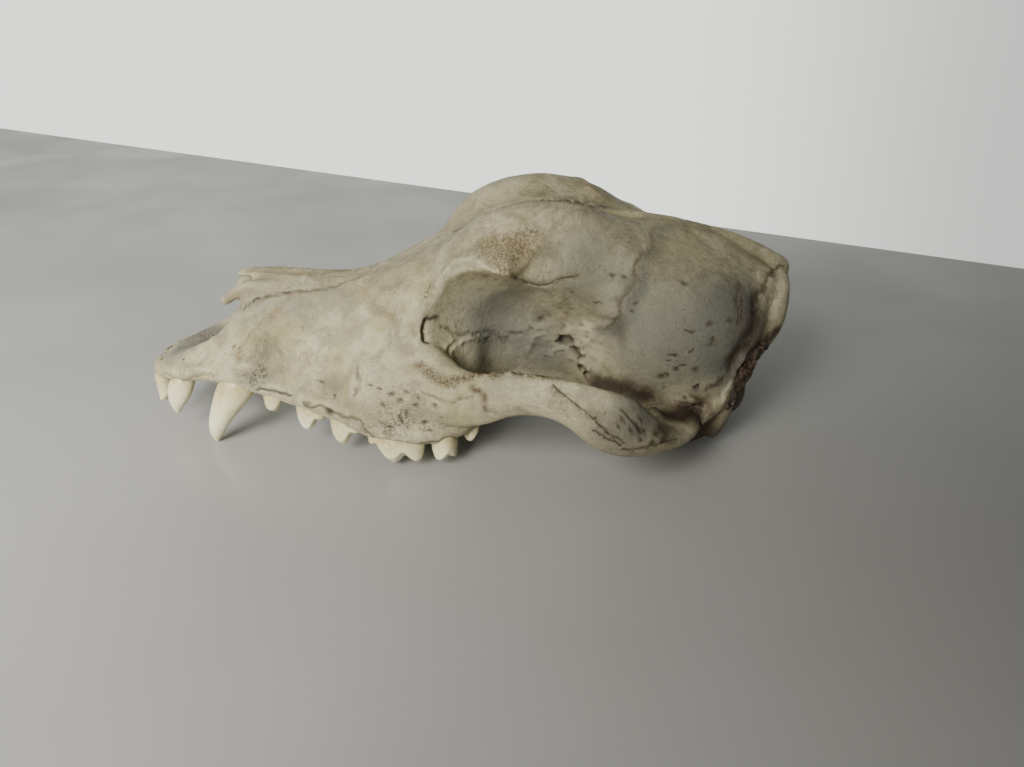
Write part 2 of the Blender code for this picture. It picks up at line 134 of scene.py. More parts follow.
def wander(points: Sequence[Row], step: float, swing: float, seed: float) -> Table:
    """Makes a line waver, as the seams between grown bones do.

    Args:
        points: x, y, z along the line.
        step: how far apart its bends are.
        swing: how far each bend strays.
        seed: an offset that makes one line's bends differ from another's.

    Returns:
        The wavering line.
    """
    line = smooth_path([row[:3] for row in points], 12)
    run = np.concatenate([[0.0], np.cumsum(np.linalg.norm(np.diff(line, axis=0), axis=1))])
    places = np.arange(0.0, run[-1], step)
    bends = np.column_stack([np.interp(places, run, line[:, axis]) for axis in range(3)])
    strays = [noise.noise_vector(Vector((seed, index * 0.83, 0.0))) for index in range(len(bends))]
    return tuple(tuple(place + swing * np.array(stray)) for place, stray in zip(bends, strays))


class Clay:
    """Closed forms in one mesh, pressed together before they become one skin."""

    END_TURNS = (0, 20, 45, 75)
    UPRIGHT_SHARE = 0.8

    def __init__(self) -> None:
        """Starts with nothing."""
        self.mesh = bmesh.new()

    def rings(self, rings: Sequence[Sequence[Sequence[float]]],
              tip: Optional[Sequence[float]] = None) -> None:
        """Bridges rings into one closed skin.

        Args:
            rings: loops of points, all of the same length.
            tip: a point that the last ring is drawn to, or None for a flat end.
        """
        loops = [[self.mesh.verts.new(Vector(point)) for point in ring] for ring in rings]
        for near, far in zip(loops, loops[1:]):
            for index in range(len(near)):
                following = (index + 1) % len(near)
                self.mesh.faces.new((near[index], near[following], far[following], far[index]))
        self.mesh.faces.new(list(reversed(loops[0])))
        if tip is None:
            self.mesh.faces.new(loops[-1])
            return
        point = self.mesh.verts.new(Vector(tip))
        for index, corner in enumerate(loops[-1]):
            self.mesh.faces.new((corner, loops[-1][(index + 1) % len(loops[-1])], point))

    def tube(self, points: Sequence[Row], side: Side = Side.LEFT, steps: int = 6,
             corners: int = RING_POINTS, grow: float = 0.0) -> None:
        """Sweeps an ellipse along a smooth path and rounds both ends.

        Args:
            points: x, y, z, half width, half height at each point.
            side: the half of the skull that it goes on.
            steps: rings for each stretch between two points.
            corners: points in each ring.
            grow: how much wider than given it is all round.
        """
        path = smooth_path(points, steps)
        centres, sizes = path[:, :3] * (1, side.value, 1), path[:, 3:5] + grow
        ahead = np.gradient(centres, axis=0)
        ahead /= np.linalg.norm(ahead, axis=1)[:, None]
        upright = abs(ahead[:, 2]).mean() > self.UPRIGHT_SHARE
        reference = Vector((1, 0, 0)) if upright else Vector((0, 0, 1))
        ends = {0: [-turn for turn in reversed(self.END_TURNS)], len(path) - 1: self.END_TURNS}
        rings = []
        for index, (centre, size, along) in enumerate(zip(centres, sizes, ahead)):
            along = Vector(along)
            across = along.cross(reference).normalized()
            rise = across.cross(along)
            for turn in map(math.radians, ends.get(index, (0,))):
                middle = Vector(centre) + along * min(size) * math.sin(turn)
                rings.append([middle + across * size[0] * math.cos(turn) * math.cos(angle)
                              + rise * size[1] * math.cos(turn) * math.sin(angle)
                              for angle in around(corners)])
        self.rings(rings)

    def tubes(self, *paths: Sequence[Row]) -> None:
        """Sweeps each path on both sides."""
        for path in paths:
            for side in Side:
                self.tube(path, side)

    def ball(self, centre: Row, radii: Row, tilt: float = 0.0, side: Side = Side.LEFT) -> None:
        """Adds an ellipsoid.

        Args:
            centre: its middle, with left-hand y.
            radii: its half sizes along x, y and z before it is tilted.
            tilt: its turn about the y axis in degrees.
            side: the half of the skull that it goes on.
        """
        place = (Matrix.Translation((centre[0], centre[1] * side.value, centre[2]))
                 @ Matrix.Rotation(math.radians(tilt), 4, "Y") @ Matrix.Diagonal((*radii, 1.0)))
        bmesh.ops.create_icosphere(self.mesh, subdivisions=4, radius=1.0, matrix=place)

    def balls(self, *shapes: tuple[Row, Row, float]) -> None:
        """Adds each ellipsoid on both sides."""
        for centre, radii, tilt in shapes:
            for side in Side:
                self.ball(centre, radii, tilt, side)

    def swallow(self, item: bpy.types.Object) -> None:
        """Takes an object's mesh into this one and removes the object."""
        self.mesh.from_mesh(item.data)
        bpy.data.objects.remove(item, do_unlink=True)

    def set(self, name: str) -> bpy.types.Object:
        """Turns the clay into an object with every face pointing out.

        Args:
            name: the object's name.

        Returns:
            The new object.
        """
        bmesh.ops.recalc_face_normals(self.mesh, faces=self.mesh.faces)
        data = bpy.data.meshes.new(name)
        self.mesh.to_mesh(data)
        self.mesh.free()
        item = bpy.data.objects.new(name, data)
        bpy.context.scene.collection.objects.link(item)
        return item


def bake(item: bpy.types.Object) -> bpy.types.Object:
    """Keeps an object's evaluated mesh in place of its modifiers.

    Args:
        item: the object.

    Returns:
        The same object.
    """
    evaluated = item.evaluated_get(bpy.context.evaluated_depsgraph_get())
    data = bpy.data.meshes.new_from_object(evaluated)
    item.modifiers.clear()
    item.data = data
    return item


def fuse(item: bpy.types.Object, grain: Grain) -> bpy.types.Object:
    """Joins overlapping forms into one skin and softens the creases between them.

    Args:
        item: the object that holds the forms.
        grain: the voxel size and the rounds of softening.

    Returns:
        The same object.
    """
    voxel, rounds = grain.value
    skin = item.modifiers.new("skin", "REMESH")
    skin.mode = "VOXEL"
    skin.voxel_size = voxel
    soften = item.modifiers.new("soften", "SMOOTH")
    soften.factor = 0.5
    soften.iterations = rounds
    return bake(item)


def take_away(item: bpy.types.Object, cutter: bpy.types.Object, solver: str = "EXACT") -> None:
    """Takes one closed object away from another and removes the cutter.

    Args:
        item: the object that is cut.
        cutter: the object that cuts it.
        solver: the Boolean modifier's way of working.
    """
    take = item.modifiers.new(cutter.name, "BOOLEAN")
    take.operation = "DIFFERENCE"
    take.solver = solver
    take.object = cutter
    bake(item)
    bpy.data.objects.remove(cutter, do_unlink=True)


def thin_out(item: bpy.types.Object, triangles: int) -> None:
    """Brings a mesh down to a number of triangles, keeping them where it bends.

    Args:
        item: the object.
        triangles: the most that it may have.
    """
    item.data.calc_loop_triangles()
    held = len(item.data.loop_triangles)
    if held <= triangles:
        return
    fewer = item.modifiers.new("thin out", "DECIMATE")
    fewer.ratio = triangles / held
    fewer.use_collapse_triangulate = True
    bake(item)


class Surface:
    """A mesh's points and normals as arrays, with the marks that a hand can press into it."""

    def __init__(self, item: bpy.types.Object) -> None:
        """Reads the object's mesh."""
        self.item = item
        self.read()

    def read(self) -> None:
        """Reads places and normals from the mesh, and starts with no shift."""
        count = len(self.item.data.vertices)
        flat = np.empty(count * 3, np.float32)
        self.item.data.vertices.foreach_get("co", flat)
        self.places = flat.reshape(-1, 3).astype(float)
        flat = np.empty(count * 3, np.float32)
        self.item.data.vertex_normals.foreach_get("vector", flat)
        self.normals = flat.reshape(-1, 3).astype(float)
        self.shift = np.zeros((count, 3))
        self.tree = kdtree.KDTree(count)
        for index, place in enumerate(self.places):
            self.tree.insert(place, index)
        self.tree.balance()

    def settle(self) -> None:
        """Moves the mesh by the shift so far and reads it again."""
        self.item.data.vertices.foreach_set("co", (self.places + self.shift).ravel())
        self.item.data.update()
        self.read()

    def near_line(self, points: Sequence[Row], reach: float) -> tuple[np.ndarray, np.ndarray,
                                                                    np.ndarray]:
        """Finds the points close to a line on the surface and facing its way.

        Args:
            points: x, y, z along the line.
            reach: how far from the line to look.

        Returns:
            Indices of the points, their distance from the line, and their run along it, 0 to 1.
        """
        line = smooth_path([row[:3] for row in points], 3)
        rests = [self.tree.find(place) for place in line]
        line = np.array([rest[0] for rest in rests])
        facings = self.normals[[rest[1] for rest in rests]]
        low, high = line.min(0) - reach, line.max(0) + reach
        found = np.flatnonzero(np.all((self.places > low) & (self.places < high), axis=1))
        if not len(found):
            return found, np.empty(0), np.empty(0)
        spots = self.places[found]
        best = np.full(len(found), np.inf)
        run = np.zeros(len(found))
        facing = np.zeros((len(found), 3))
        lengths = np.linalg.norm(np.diff(line, axis=0), axis=1)
        before = np.concatenate([[0.0], np.cumsum(lengths)])
        whole = max(before[-1], 1e-6)
        for index, (start, end) in enumerate(zip(line, line[1:])):
            span = end - start
            along = np.clip((spots - start) @ span / max(span @ span, 1e-9), 0, 1)
            away = np.linalg.norm(spots - start - along[:, None] * span, axis=1)
            nearer = away < best
            best[nearer] = away[nearer]
            run[nearer] = (before[index] + along[nearer] * lengths[index]) / whole
            facing[nearer] = facings[index]
        keep = (best < reach) & (np.sum(facing * self.normals[found], axis=1) > 0.0)
        return found[keep], best[keep], run[keep]

    def score(self, points: Sequence[Row], depth: float, width: float,
              fade: float = 0.12) -> None:
        """Presses a groove along a line, or raises a ridge when the depth is negative.

        Args:
            points: x, y, z along the line.
            depth: how deep it is in the middle.
            width: how far from the line it reaches.
            fade: the share of its length that it fades over at each end.
        """
        index, away, run = self.near_line(points, width)
        ends = np.clip(np.minimum(run, 1 - run) / max(fade, 1e-6), 0, 1)
        strength = bell(away / width) * (ends if fade > 0 else 1.0)
        self.shift[index] -= self.normals[index] * (depth * strength)[:, None]

    def scores(self, lines: Iterable[Sequence[Row]], depth: float, width: float) -> None:
        """Presses the same groove along each of several lines."""
        for line in lines:
            self.score(line, depth, width)

    def refine(self, lines: Iterable[Sequence[Row]], reach: float) -> None:
        """Splits the faces along lines, so that fine marks have points to lie on.

        Args:
            lines: x, y, z along each line.
            reach: how far from the line faces are split.
        """
        near = np.zeros(len(self.places), bool)
        for line in lines:
            near[self.near_line(line, reach)[0]] = True
        mesh = bmesh.new()
        mesh.from_mesh(self.item.data)
        edges = [edge for edge in mesh.edges
                 if near[edge.verts[0].index] and near[edge.verts[1].index]]
        bmesh.ops.subdivide_edges(mesh, edges=edges, cuts=1)
        bmesh.ops.triangulate(mesh, faces=mesh.faces)
        mesh.to_mesh(self.item.data)
        mesh.free()
        self.read()

    def _ends(self) -> np.ndarray:
        """The two points of each edge."""
        flat = np.empty(len(self.item.data.edges) * 2, np.int32)
        self.item.data.edges.foreach_get("vertices", flat)
        return flat.reshape(-1, 2)

    @staticmethod
    def _neighbour_mean(points: np.ndarray, ends: np.ndarray, degree: np.ndarray) -> np.ndarray:
        """The mean place of each point's neighbours.

        Args:
            points: the places.
            ends: the two points of each edge.
            degree: how many neighbours each point has.

        Returns:
            One place for each point.
        """
        first, second, count = ends[:, 0], ends[:, 1], len(points)
        total = np.column_stack([np.bincount(first, points[second, axis], count)
                                 + np.bincount(second, points[first, axis], count)
                                 for axis in range(3)])
        return total / np.maximum(degree, 1)

    def soften(self, centre: Row, radii: Row, rounds: int) -> None:
        """Melts ledges and creases away inside an ellipsoid.

        Args:
            centre: its middle.
            radii: how far it reaches along x, y and z.
            rounds: how many times each point moves towards its neighbours.
        """
        index, share = self.within(centre, radii)
        weight = np.zeros((len(self.places), 1))
        weight[index, 0] = np.clip(1.6 * bell(share), 0, 1)
        ends = self._ends()
        ends = ends[(weight[ends[:, 0], 0] > 0) | (weight[ends[:, 1], 0] > 0)]
        degree = np.bincount(ends.ravel(), minlength=len(self.places))[:, None]
        smooth = self.places.copy()
        for _ in range(rounds):
            mean = self._neighbour_mean(smooth, ends, degree)
            smooth += 0.6 * weight * (mean - smooth) * (degree > 0)
        self.shift += smooth - self.places

    def within(self, centre: Row, radii: Row) -> tuple[np.ndarray, np.ndarray]:
        """Finds the points inside an ellipsoid.

        Args:
            centre: its middle.
            radii: its half sizes along x, y and z.

        Returns:
            Indices of the points and their share of the way out from its middle.
        """
        share = np.linalg.norm((self.places - np.asarray(centre)) / np.asarray(radii), axis=1)
        index = np.flatnonzero(share < 1.0)
        return index, share[index]

    def swell(self, centre: Row, radii: Row, height: float) -> None:
        """Raises a soft hump, or sinks a hollow when the height is negative.

        Args:
            centre: the middle of the hump.
            radii: how far it reaches along x, y and z.
            height: how far the surface moves out in the middle.
        """
        index, share = self.within(centre, radii)
        self.shift[index] += self.normals[index] * (height * bell(share))[:, None]

    def bore(self, centre: Row, radius: float, along: Row, depth: float) -> None:
        """Sinks a steep-walled hole into the surface.

        Args:
            centre: the middle of its mouth.
            radius: the mouth's radius.
            along: the direction that it runs in.
            depth: how deep it is.
        """
        way = np.asarray(along, float)
        way /= np.linalg.norm(way)
        offset = self.places - np.asarray(centre)
        run = offset @ way
        away = np.linalg.norm(offset - run[:, None] * way, axis=1)
        facing = self.normals @ way < 0.35
        index = np.flatnonzero((away < radius) & (abs(run) < radius * 1.6) & facing)
        strength = 1 - np.clip(away[index] / radius, 0, 1) ** 4
        self.shift[index] += way * (depth * strength)[:, None]

    def roughen(self, index: np.ndarray, strength: np.ndarray, size: float, height: float,
                seed: float = 0.0) -> None:
        """Moves points in and out by layered noise.

        Args:
            index: the points to move.
            strength: how much of the height each one takes, 0 to 1.
            size: the size of the largest lumps.
            height: how far the noise moves the surface.
            seed: an offset that makes one place's noise differ from another's.
        """
        for point, share in zip(index, strength):
            spot = Vector(self.places[point] / size) + Vector((seed, seed, seed))
            lump = noise.fractal(spot, 0.6, 2.1, 3)
            self.shift[point] += self.normals[point] * (height * share * lump)

    def hollowness(self, rounds: int) -> np.ndarray:
        """How far each point lies below the smoothed surface round it.

        Args:
            rounds: how many times the surface is smoothed, which sets the size that counts.

        Returns:
            Depth in millimetres, positive in a hollow and negative on a ridge.
        """
        ends = self._ends()
        degree = np.bincount(ends.ravel(), minlength=len(self.places))[:, None]
        smooth = self.places.copy()
        for _ in range(rounds):
            smooth = 0.5 * smooth + 0.5 * self._neighbour_mean(smooth, ends, degree)
        return np.sum((smooth - self.places) * self.normals, axis=1)


class Stain(Enum):
    """Colour masks that the bone carries from point to point; the dirt, brown and slate masks also
    carry painted shade.
    """

    DIRT = "dirt"
    BROWN = "brown"
    OCHRE = "ochre"
    SLATE = "slate"
    CHALK = "chalk"
    LINE = "line"
    OLIVE = "olive"
    PORES = "pores"


class Paint:
    """Colour masks on a surface, laid on in named washes and drawn lines."""

    def __init__(self, surface: Surface) -> None:
        """Starts every mask at nothing."""
        self.surface = surface
        self.masks = {stain: np.zeros(len(surface.places)) for stain in Stain}

    def wash(self, stain: Stain, centre: Row, radii: Row, strength: float) -> None:
        """Lays a soft patch.

        Args:
            stain: the mask.
            centre: the middle of the patch.
            radii: how far it reaches along x, y and z.
            strength: how much it adds in the middle.
        """
        index, share = self.surface.within(centre, radii)
        self.masks[stain][index] += strength * bell(share)

    def spots(self, stain: Stain, centres: Sequence[Row], radius: float, strength: float) -> None:
        """Lays small round spots.

        Args:
            stain: the mask.
            centres: the middle of each spot, near the surface.
            radius: how far each one reaches.
            strength: how much it adds in the middle.
        """
        for centre in centres:
            rest = self.surface.tree.find(centre[:3])[0]
            size = centre[3] if len(centre) > 3 else radius
            self.wash(stain, tuple(rest), (size, size, size), strength)

    def draw(self, stain: Stain, points: Sequence[Row], width: float, strength: float) -> None:
        """Draws along a line.

        Args:
            stain: the mask.
            points: x, y, z along the line.
            width: how far from the line it reaches.
            strength: how much it adds in the middle.
        """
        index, away, _ = self.surface.near_line(points, width)
        self.masks[stain][index] = np.maximum(self.masks[stain][index],
                                              strength * bell(away / width))

    def store(self) -> None:
        """Writes each mask to the mesh, held between nothing and one."""
        for stain, mask in self.masks.items():
            layer = self.surface.item.data.attributes.new(stain.value, "FLOAT", "POINT")
            layer.data.foreach_set("value", np.clip(mask, 0, 1).astype(np.float32))


class Recipe:
    """Builds one material's nodes, a named step at a time."""

    def __init__(self, name: str) -> None:
        """Starts a material with a plain shader."""
        self.material = bpy.data.materials.new(name)
        self.material.use_nodes = True
        self.tree = self.material.node_tree
        self.shader = self.tree.nodes["Principled BSDF"]

    def set(self, socket: str, value: object) -> None:
        """Sets one of the shader's own sockets."""
        self.shader.inputs[socket].default_value = value

    def link(self, start: bpy.types.NodeSocket, end: bpy.types.NodeSocket) -> None:
        """Joins two sockets."""
        self.tree.links.new(start, end)

    def feed(self, start: bpy.types.NodeSocket, socket: str) -> None:
        """Joins a socket to one of the shader's."""
        self.link(start, self.shader.inputs[socket])

    def node(self, kind: str, **settings: object) -> bpy.types.Node:
        """Adds a node and sets its options.

        Args:
            kind: the node's type name.
            settings: options of the node itself.

        Returns:
            The new node.
        """
        made = self.tree.nodes.new(kind)
        for option, value in settings.items():
            setattr(made, option, value)
        return made

    def place(self, stretch: Row = (1.0, 1.0, 1.0)) -> bpy.types.NodeSocket:
        """The point's place on the object, in metres, stretched along each axis."""
        mapping = self.node("ShaderNodeMapping")
        mapping.inputs["Scale"].default_value = stretch
        self.link(self.node("ShaderNodeTexCoord").outputs["Object"], mapping.inputs["Vector"])
        return mapping.outputs["Vector"]

    def noise(self, scale: float, detail: float = 4.0, rough: float = 0.55,
              stretch: Row = (1.0, 1.0, 1.0), bend: float = 0.0) -> bpy.types.NodeSocket:
        """Layered noise.

        Args:
            scale: waves to a metre.
            detail: how many finer layers there are.
            rough: how strong each finer layer is.
            stretch: how the pattern is squeezed along each axis.
            bend: how much the pattern is bent by itself.

        Returns:
            The noise as a number near one half.
        """
        made = self.node("ShaderNodeTexNoise")
        made.inputs["Scale"].default_value = scale
        made.inputs["Detail"].default_value = detail
        made.inputs["Roughness"].default_value = rough
        made.inputs["Distortion"].default_value = bend
        self.link(self.place(stretch), made.inputs["Vector"])
        return made.outputs["Fac"]

    def cells(self, scale: float, feature: str = "F1") -> bpy.types.NodeSocket:
        """Distance to scattered points, for pores and flecks.

        Args:
            scale: cells to a metre.
            feature: which distance is measured.

        Returns:
            The distance.
        """
        made = self.node("ShaderNodeTexVoronoi", feature=feature)
        made.inputs["Scale"].default_value = scale
        self.link(self.place(), made.inputs["Vector"])
        return made.outputs["Distance"]

    def mask(self, stain: Stain) -> bpy.types.NodeSocket:
        """A colour mask that the mesh carries."""
        return self.node("ShaderNodeAttribute", attribute_name=stain.value).outputs["Fac"]

    def band(self, source: bpy.types.NodeSocket, low: float, high: float,
             to_low: float = 0.0, to_high: float = 1.0) -> bpy.types.NodeSocket:
        """Stretches part of a range over another, smoothly.

        Args:
            source: the number.
            low: where the range starts.
            high: where it ends.
            to_low: what its start becomes.
            to_high: what its end becomes.

        Returns:
            The new number.
        """
        made = self.node("ShaderNodeMapRange", interpolation_type="SMOOTHSTEP")
        for socket, value in (("From Min", low), ("From Max", high), ("To Min", to_low),
                              ("To Max", to_high)):
            made.inputs[socket].default_value = value
        self.link(source, made.inputs["Value"])
        return made.outputs["Result"]

    def sum(self, operation: str, first: object, second: object) -> bpy.types.NodeSocket:
        """Works out one sum of two numbers.

        Args:
            operation: the Math node's operation.
            first: a socket or a number.
            second: a socket or a number.

        Returns:
            The result.
        """
        made = self.node("ShaderNodeMath", operation=operation)
        for index, value in enumerate((first, second)):
            if isinstance(value, bpy.types.NodeSocket):
                self.link(value, made.inputs[index])
            else:
                made.inputs[index].default_value = value
        return made.outputs[0]

    def blend(self, share: object, first: object, second: object) -> bpy.types.NodeSocket:
        """Mixes two colours.

        Args:
            share: how much of the second there is, a socket or a number.
            first: a colour or a socket.
            second: a colour or a socket.

        Returns:
            The mixed colour.
        """
        made = self.node("ShaderNodeMix", data_type="RGBA")
        for socket, value in ((made.inputs[0], share), (made.inputs[6], first),
                              (made.inputs[7], second)):
            if isinstance(value, bpy.types.NodeSocket):
                self.link(value, socket)
            else:
                socket.default_value = value if socket is made.inputs[0] else (*value, 1.0)
        return made.outputs[2]

    def bump(self, layers: Sequence[tuple[bpy.types.NodeSocket, float, float]]) -> None:
        """Stacks bumps onto the shader.

        Args:
            layers: height, strength and distance in metres of each layer.
        """
        normal = None
        for height, strength, distance in layers:
            made = self.node("ShaderNodeBump")
            made.inputs["Strength"].default_value = strength
            made.inputs["Distance"].default_value = distance
            self.link(height, made.inputs["Height"])
            if normal is not None:
                self.link(normal, made.inputs["Normal"])
            normal = made.outputs["Normal"]
        self.feed(normal, "Normal")

    def dress(self, item: bpy.types.Object) -> None:
        """Gives the object this material alone."""
        item.data.materials.clear()
        item.data.materials.append(self.material)


@dataclass(frozen=True)
class BoneFinish:
    """Dry, unvarnished bone: cream with grey and yellow mottling, pores, old soiling, and shade
    painted into its hollows, underneath and towards its rear.
    """

    pale: Row = (0.56, 0.51, 0.335)
    cream: Row = (0.39, 0.345, 0.20)
    grey: Row = (0.255, 0.235, 0.155)
    # The slate, brown and dirt colours also stand in for painted shade, where their masks lay it.
    slate: Row = (0.165, 0.162, 0.13)
    olive: Row = (0.35, 0.32, 0.14)
    ochre: Row = (0.27, 0.195, 0.095)
    brown: Row = (0.075, 0.040, 0.018)
    dirt: Row = (0.040, 0.027, 0.017)
    chalk: Row = (0.62, 0.57, 0.40)
    grime: Row = (0.135, 0.108, 0.062)
    roughness: float = 0.62

    def dress(self, item: bpy.types.Object) -> None:
        """Makes the material and gives it to the piece.

        Args:
            item: the piece, which carries the colour masks.
        """
        mix = Recipe("dry_bone")
        cloud = mix.band(mix.noise(60.0, 6.0, 0.68), 0.36, 0.62)
        fleck = mix.band(mix.noise(460.0, 7.0, 0.75, bend=0.5), 0.44, 0.64)
        grain = mix.band(mix.noise(1500.0, 5.0, 0.7), 0.35, 0.65)
        colour = mix.blend(cloud, self.pale, self.cream)
        greyness = mix.band(mix.noise(150.0, 6.0, 0.68, bend=0.8), 0.44, 0.62, 0.0, 0.8)
        colour = mix.blend(greyness, colour, self.grey)
        yellow = mix.band(mix.noise(95.0, 5.0, 0.65, bend=0.5), 0.52, 0.68, 0.0, 0.5)
        colour = mix.blend(yellow, colour, self.olive)
        colour = mix.blend(mix.sum("MULTIPLY", fleck, 0.34), colour, self.ochre)
        colour = mix.blend(mix.sum("MULTIPLY", grain, 0.42), colour, self.grey)
        light = mix.sum("MULTIPLY", mix.mask(Stain.CHALK),
                        mix.band(mix.noise(380.0, 5.0, 0.7), 0.34, 0.60, 0.35, 1.0))
        colour = mix.blend(light, colour, self.chalk)
        # From here on, the slate, brown and dirt masks lay both stains and painted shade.
        colour = mix.blend(mix.mask(Stain.SLATE), colour, self.slate)
        colour = mix.blend(mix.mask(Stain.OLIVE), colour, self.olive)
        holes = mix.band(mix.noise(1700.0, 2.0, 0.5), 0.50, 0.60)
        porous = mix.sum("MULTIPLY", mix.mask(Stain.PORES), holes)
        colour = mix.blend(mix.sum("MULTIPLY", porous, 0.75), colour, self.brown)
        patch = mix.band(mix.noise(600.0, 5.0, 0.7), 0.30, 0.62, 0.35, 1.0)
        colour = mix.blend(mix.sum("MULTIPLY", mix.mask(Stain.OCHRE), patch), colour, self.ochre)
        colour = mix.blend(mix.sum("MULTIPLY", mix.mask(Stain.BROWN), patch), colour, self.brown)
        colour = mix.blend(mix.mask(Stain.LINE), colour, self.dirt)
        colour = mix.blend(mix.mask(Stain.DIRT), colour, self.dirt)
        pores = mix.band(mix.cells(1500.0), 0.0, 0.16, 1.0, 0.0)
        sparse = mix.band(mix.noise(120.0, 3.0), 0.44, 0.62)
        colour = mix.blend(mix.sum("MULTIPLY", mix.sum("MULTIPLY", pores, sparse), 0.55),
                           colour, self.dirt)
        smear = mix.band(mix.noise(85.0, 8.0, 0.78, bend=1.2), 0.49, 0.66, 0.0, 0.52)
        colour = mix.blend(smear, colour, self.grime)
        dust = mix.band(mix.noise(820.0, 6.0, 0.8), 0.57, 0.69, 0.0, 0.7)
        colour = mix.blend(dust, colour, self.brown)
        mix.feed(colour, "Base Color")
        mix.feed(mix.band(fleck, 0.0, 1.0, self.roughness - 0.1, self.roughness + 0.14),
                 "Roughness")
        mix.set("Specular IOR Level", 0.35)
        mix.bump(((mix.noise(190.0, 6.0, 0.7), 0.6, 0.001),
                  (mix.noise(900.0, 6.0, 0.75), 0.9, 0.0004),
                  (mix.noise(2600.0, 3.0, 0.6, stretch=(0.35, 1.0, 1.0)), 0.45, 0.0001),
                  (mix.band(mix.cells(1500.0), 0.0, 0.2), 0.25, 0.00015),
                  (mix.sum("SUBTRACT", 1.0, porous), 0.8, 0.00035)))
        mix.dress(item)


@dataclass(frozen=True)
class EnamelFinish:
    """Glossy ivory crown that turns yellow and brown towards the gum line."""

    ivory: Row = (0.68, 0.63, 0.385)
    white: Row = (0.76, 0.72, 0.50)
    neck: Row = (0.50, 0.425, 0.20)
    scale: Row = (0.26, 0.17, 0.08)
    roughness: float = 0.24

    def dress(self, item: bpy.types.Object) -> None:
        """Makes the material and gives it to the tooth.

        Args:
            item: the tooth, which carries the dirt and ochre masks.
        """
        mix = Recipe("tooth_enamel")
        cloud = mix.band(mix.noise(160.0, 4.0), 0.35, 0.65)
        colour = mix.blend(cloud, self.ivory, self.white)
        streak = mix.band(mix.noise(500.0, 4.0, 0.6, stretch=(1.0, 1.0, 0.2)), 0.5, 0.75, 0.0, 0.35)
        colour = mix.blend(streak, colour, self.neck)
        colour = mix.blend(mix.mask(Stain.OCHRE), colour, self.neck)
        crust = mix.sum("MULTIPLY", mix.mask(Stain.BROWN),
                        mix.band(mix.noise(900.0, 4.0), 0.38, 0.6))
        colour = mix.blend(crust, colour, self.scale)
        mix.feed(colour, "Base Color")
        mix.feed(mix.band(mix.noise(300.0, 4.0), 0.3, 0.7, self.roughness - 0.06,
                          self.roughness + 0.16), "Roughness")
        mix.set("Subsurface Weight", 0.12)
        mix.set("Subsurface Radius", (0.0016, 0.0011, 0.0007))
        mix.set("Subsurface Scale", 1.0)
        mix.bump(((mix.noise(420.0, 4.0, 0.6, stretch=(1.0, 1.0, 0.35)), 0.25, 0.00025),
                  (mix.noise(2200.0, 3.0), 0.12, 0.00006)))
        mix.dress(item)


@dataclass(frozen=True)
class TissueFinish:
    """Shrunken, dried tissue: near black with brown fibres."""

    dark: Row = (0.018, 0.012, 0.009)
    brown: Row = (0.085, 0.046, 0.024)
    roughness: float = 0.7

    def dress(self, item: bpy.types.Object) -> None:
        """Makes the material and gives it to the piece."""
        mix = Recipe("dried_tissue")
        fibre = mix.band(mix.noise(700.0, 5.0, 0.7, stretch=(1.0, 1.0, 0.4)), 0.42, 0.68)
        mix.feed(mix.blend(fibre, self.dark, self.brown), "Base Color")
        mix.set("Roughness", self.roughness)
        mix.bump(((mix.noise(800.0, 5.0, 0.7), 0.8, 0.0005),))
        mix.dress(item)


@dataclass(frozen=True)
class TableFinish:
    """Pale grey painted table top, faintly worn."""

    pale: Row = (0.375, 0.372, 0.355)
    worn: Row = (0.335, 0.33, 0.312)
    roughness: float = 0.30

    def dress(self, item: bpy.types.Object) -> None:
        """Makes the material and gives it to the table top."""
        mix = Recipe("pale_table")
        cloud = mix.band(mix.noise(7.0, 4.0), 0.3, 0.7)
        colour = mix.blend(cloud, self.pale, self.worn)
        mix.feed(colour, "Base Color")
        mix.feed(mix.band(mix.noise(14.0, 3.0), 0.3, 0.7, self.roughness - 0.03,
                          self.roughness + 0.05), "Roughness")
        mix.bump(((mix.noise(900.0, 3.0), 0.02, 0.0001),))
        mix.dress(item)


Blob = tuple[Row, Row, float]


@dataclass(frozen=True)
class Touch:
    """One mark on the bone, given for the left side and repeated on the right when paired."""

    paired: bool = field(default=True, kw_only=True)

    def sides(self) -> tuple[Side, ...]:
        """The sides that it is made on."""
        return tuple(Side) if self.paired else (Side.LEFT,)

    def press(self, surface: Surface) -> None:
        """Changes the skin's shape."""

    def lay(self, paint: Paint) -> None:
        """Changes the skin's colour."""


@dataclass(frozen=True)
class Swell(Touch):
    """A soft hump, or a hollow when its height is negative."""

    centre: Row
    radii: Row
    height: float

    def press(self, surface: Surface) -> None:
        """Raises the hump on both sides."""
        for side in self.sides():
            surface.swell(side.flip(self.centre), self.radii, self.height)


@dataclass(frozen=True)
class Wash(Touch):
    """A soft patch of colour."""

    stain: Stain
    centre: Row
    radii: Row
    strength: float

    def lay(self, paint: Paint) -> None:
        """Lays the patch."""
        for side in self.sides():
            paint.wash(self.stain, side.flip(self.centre), self.radii, self.strength)


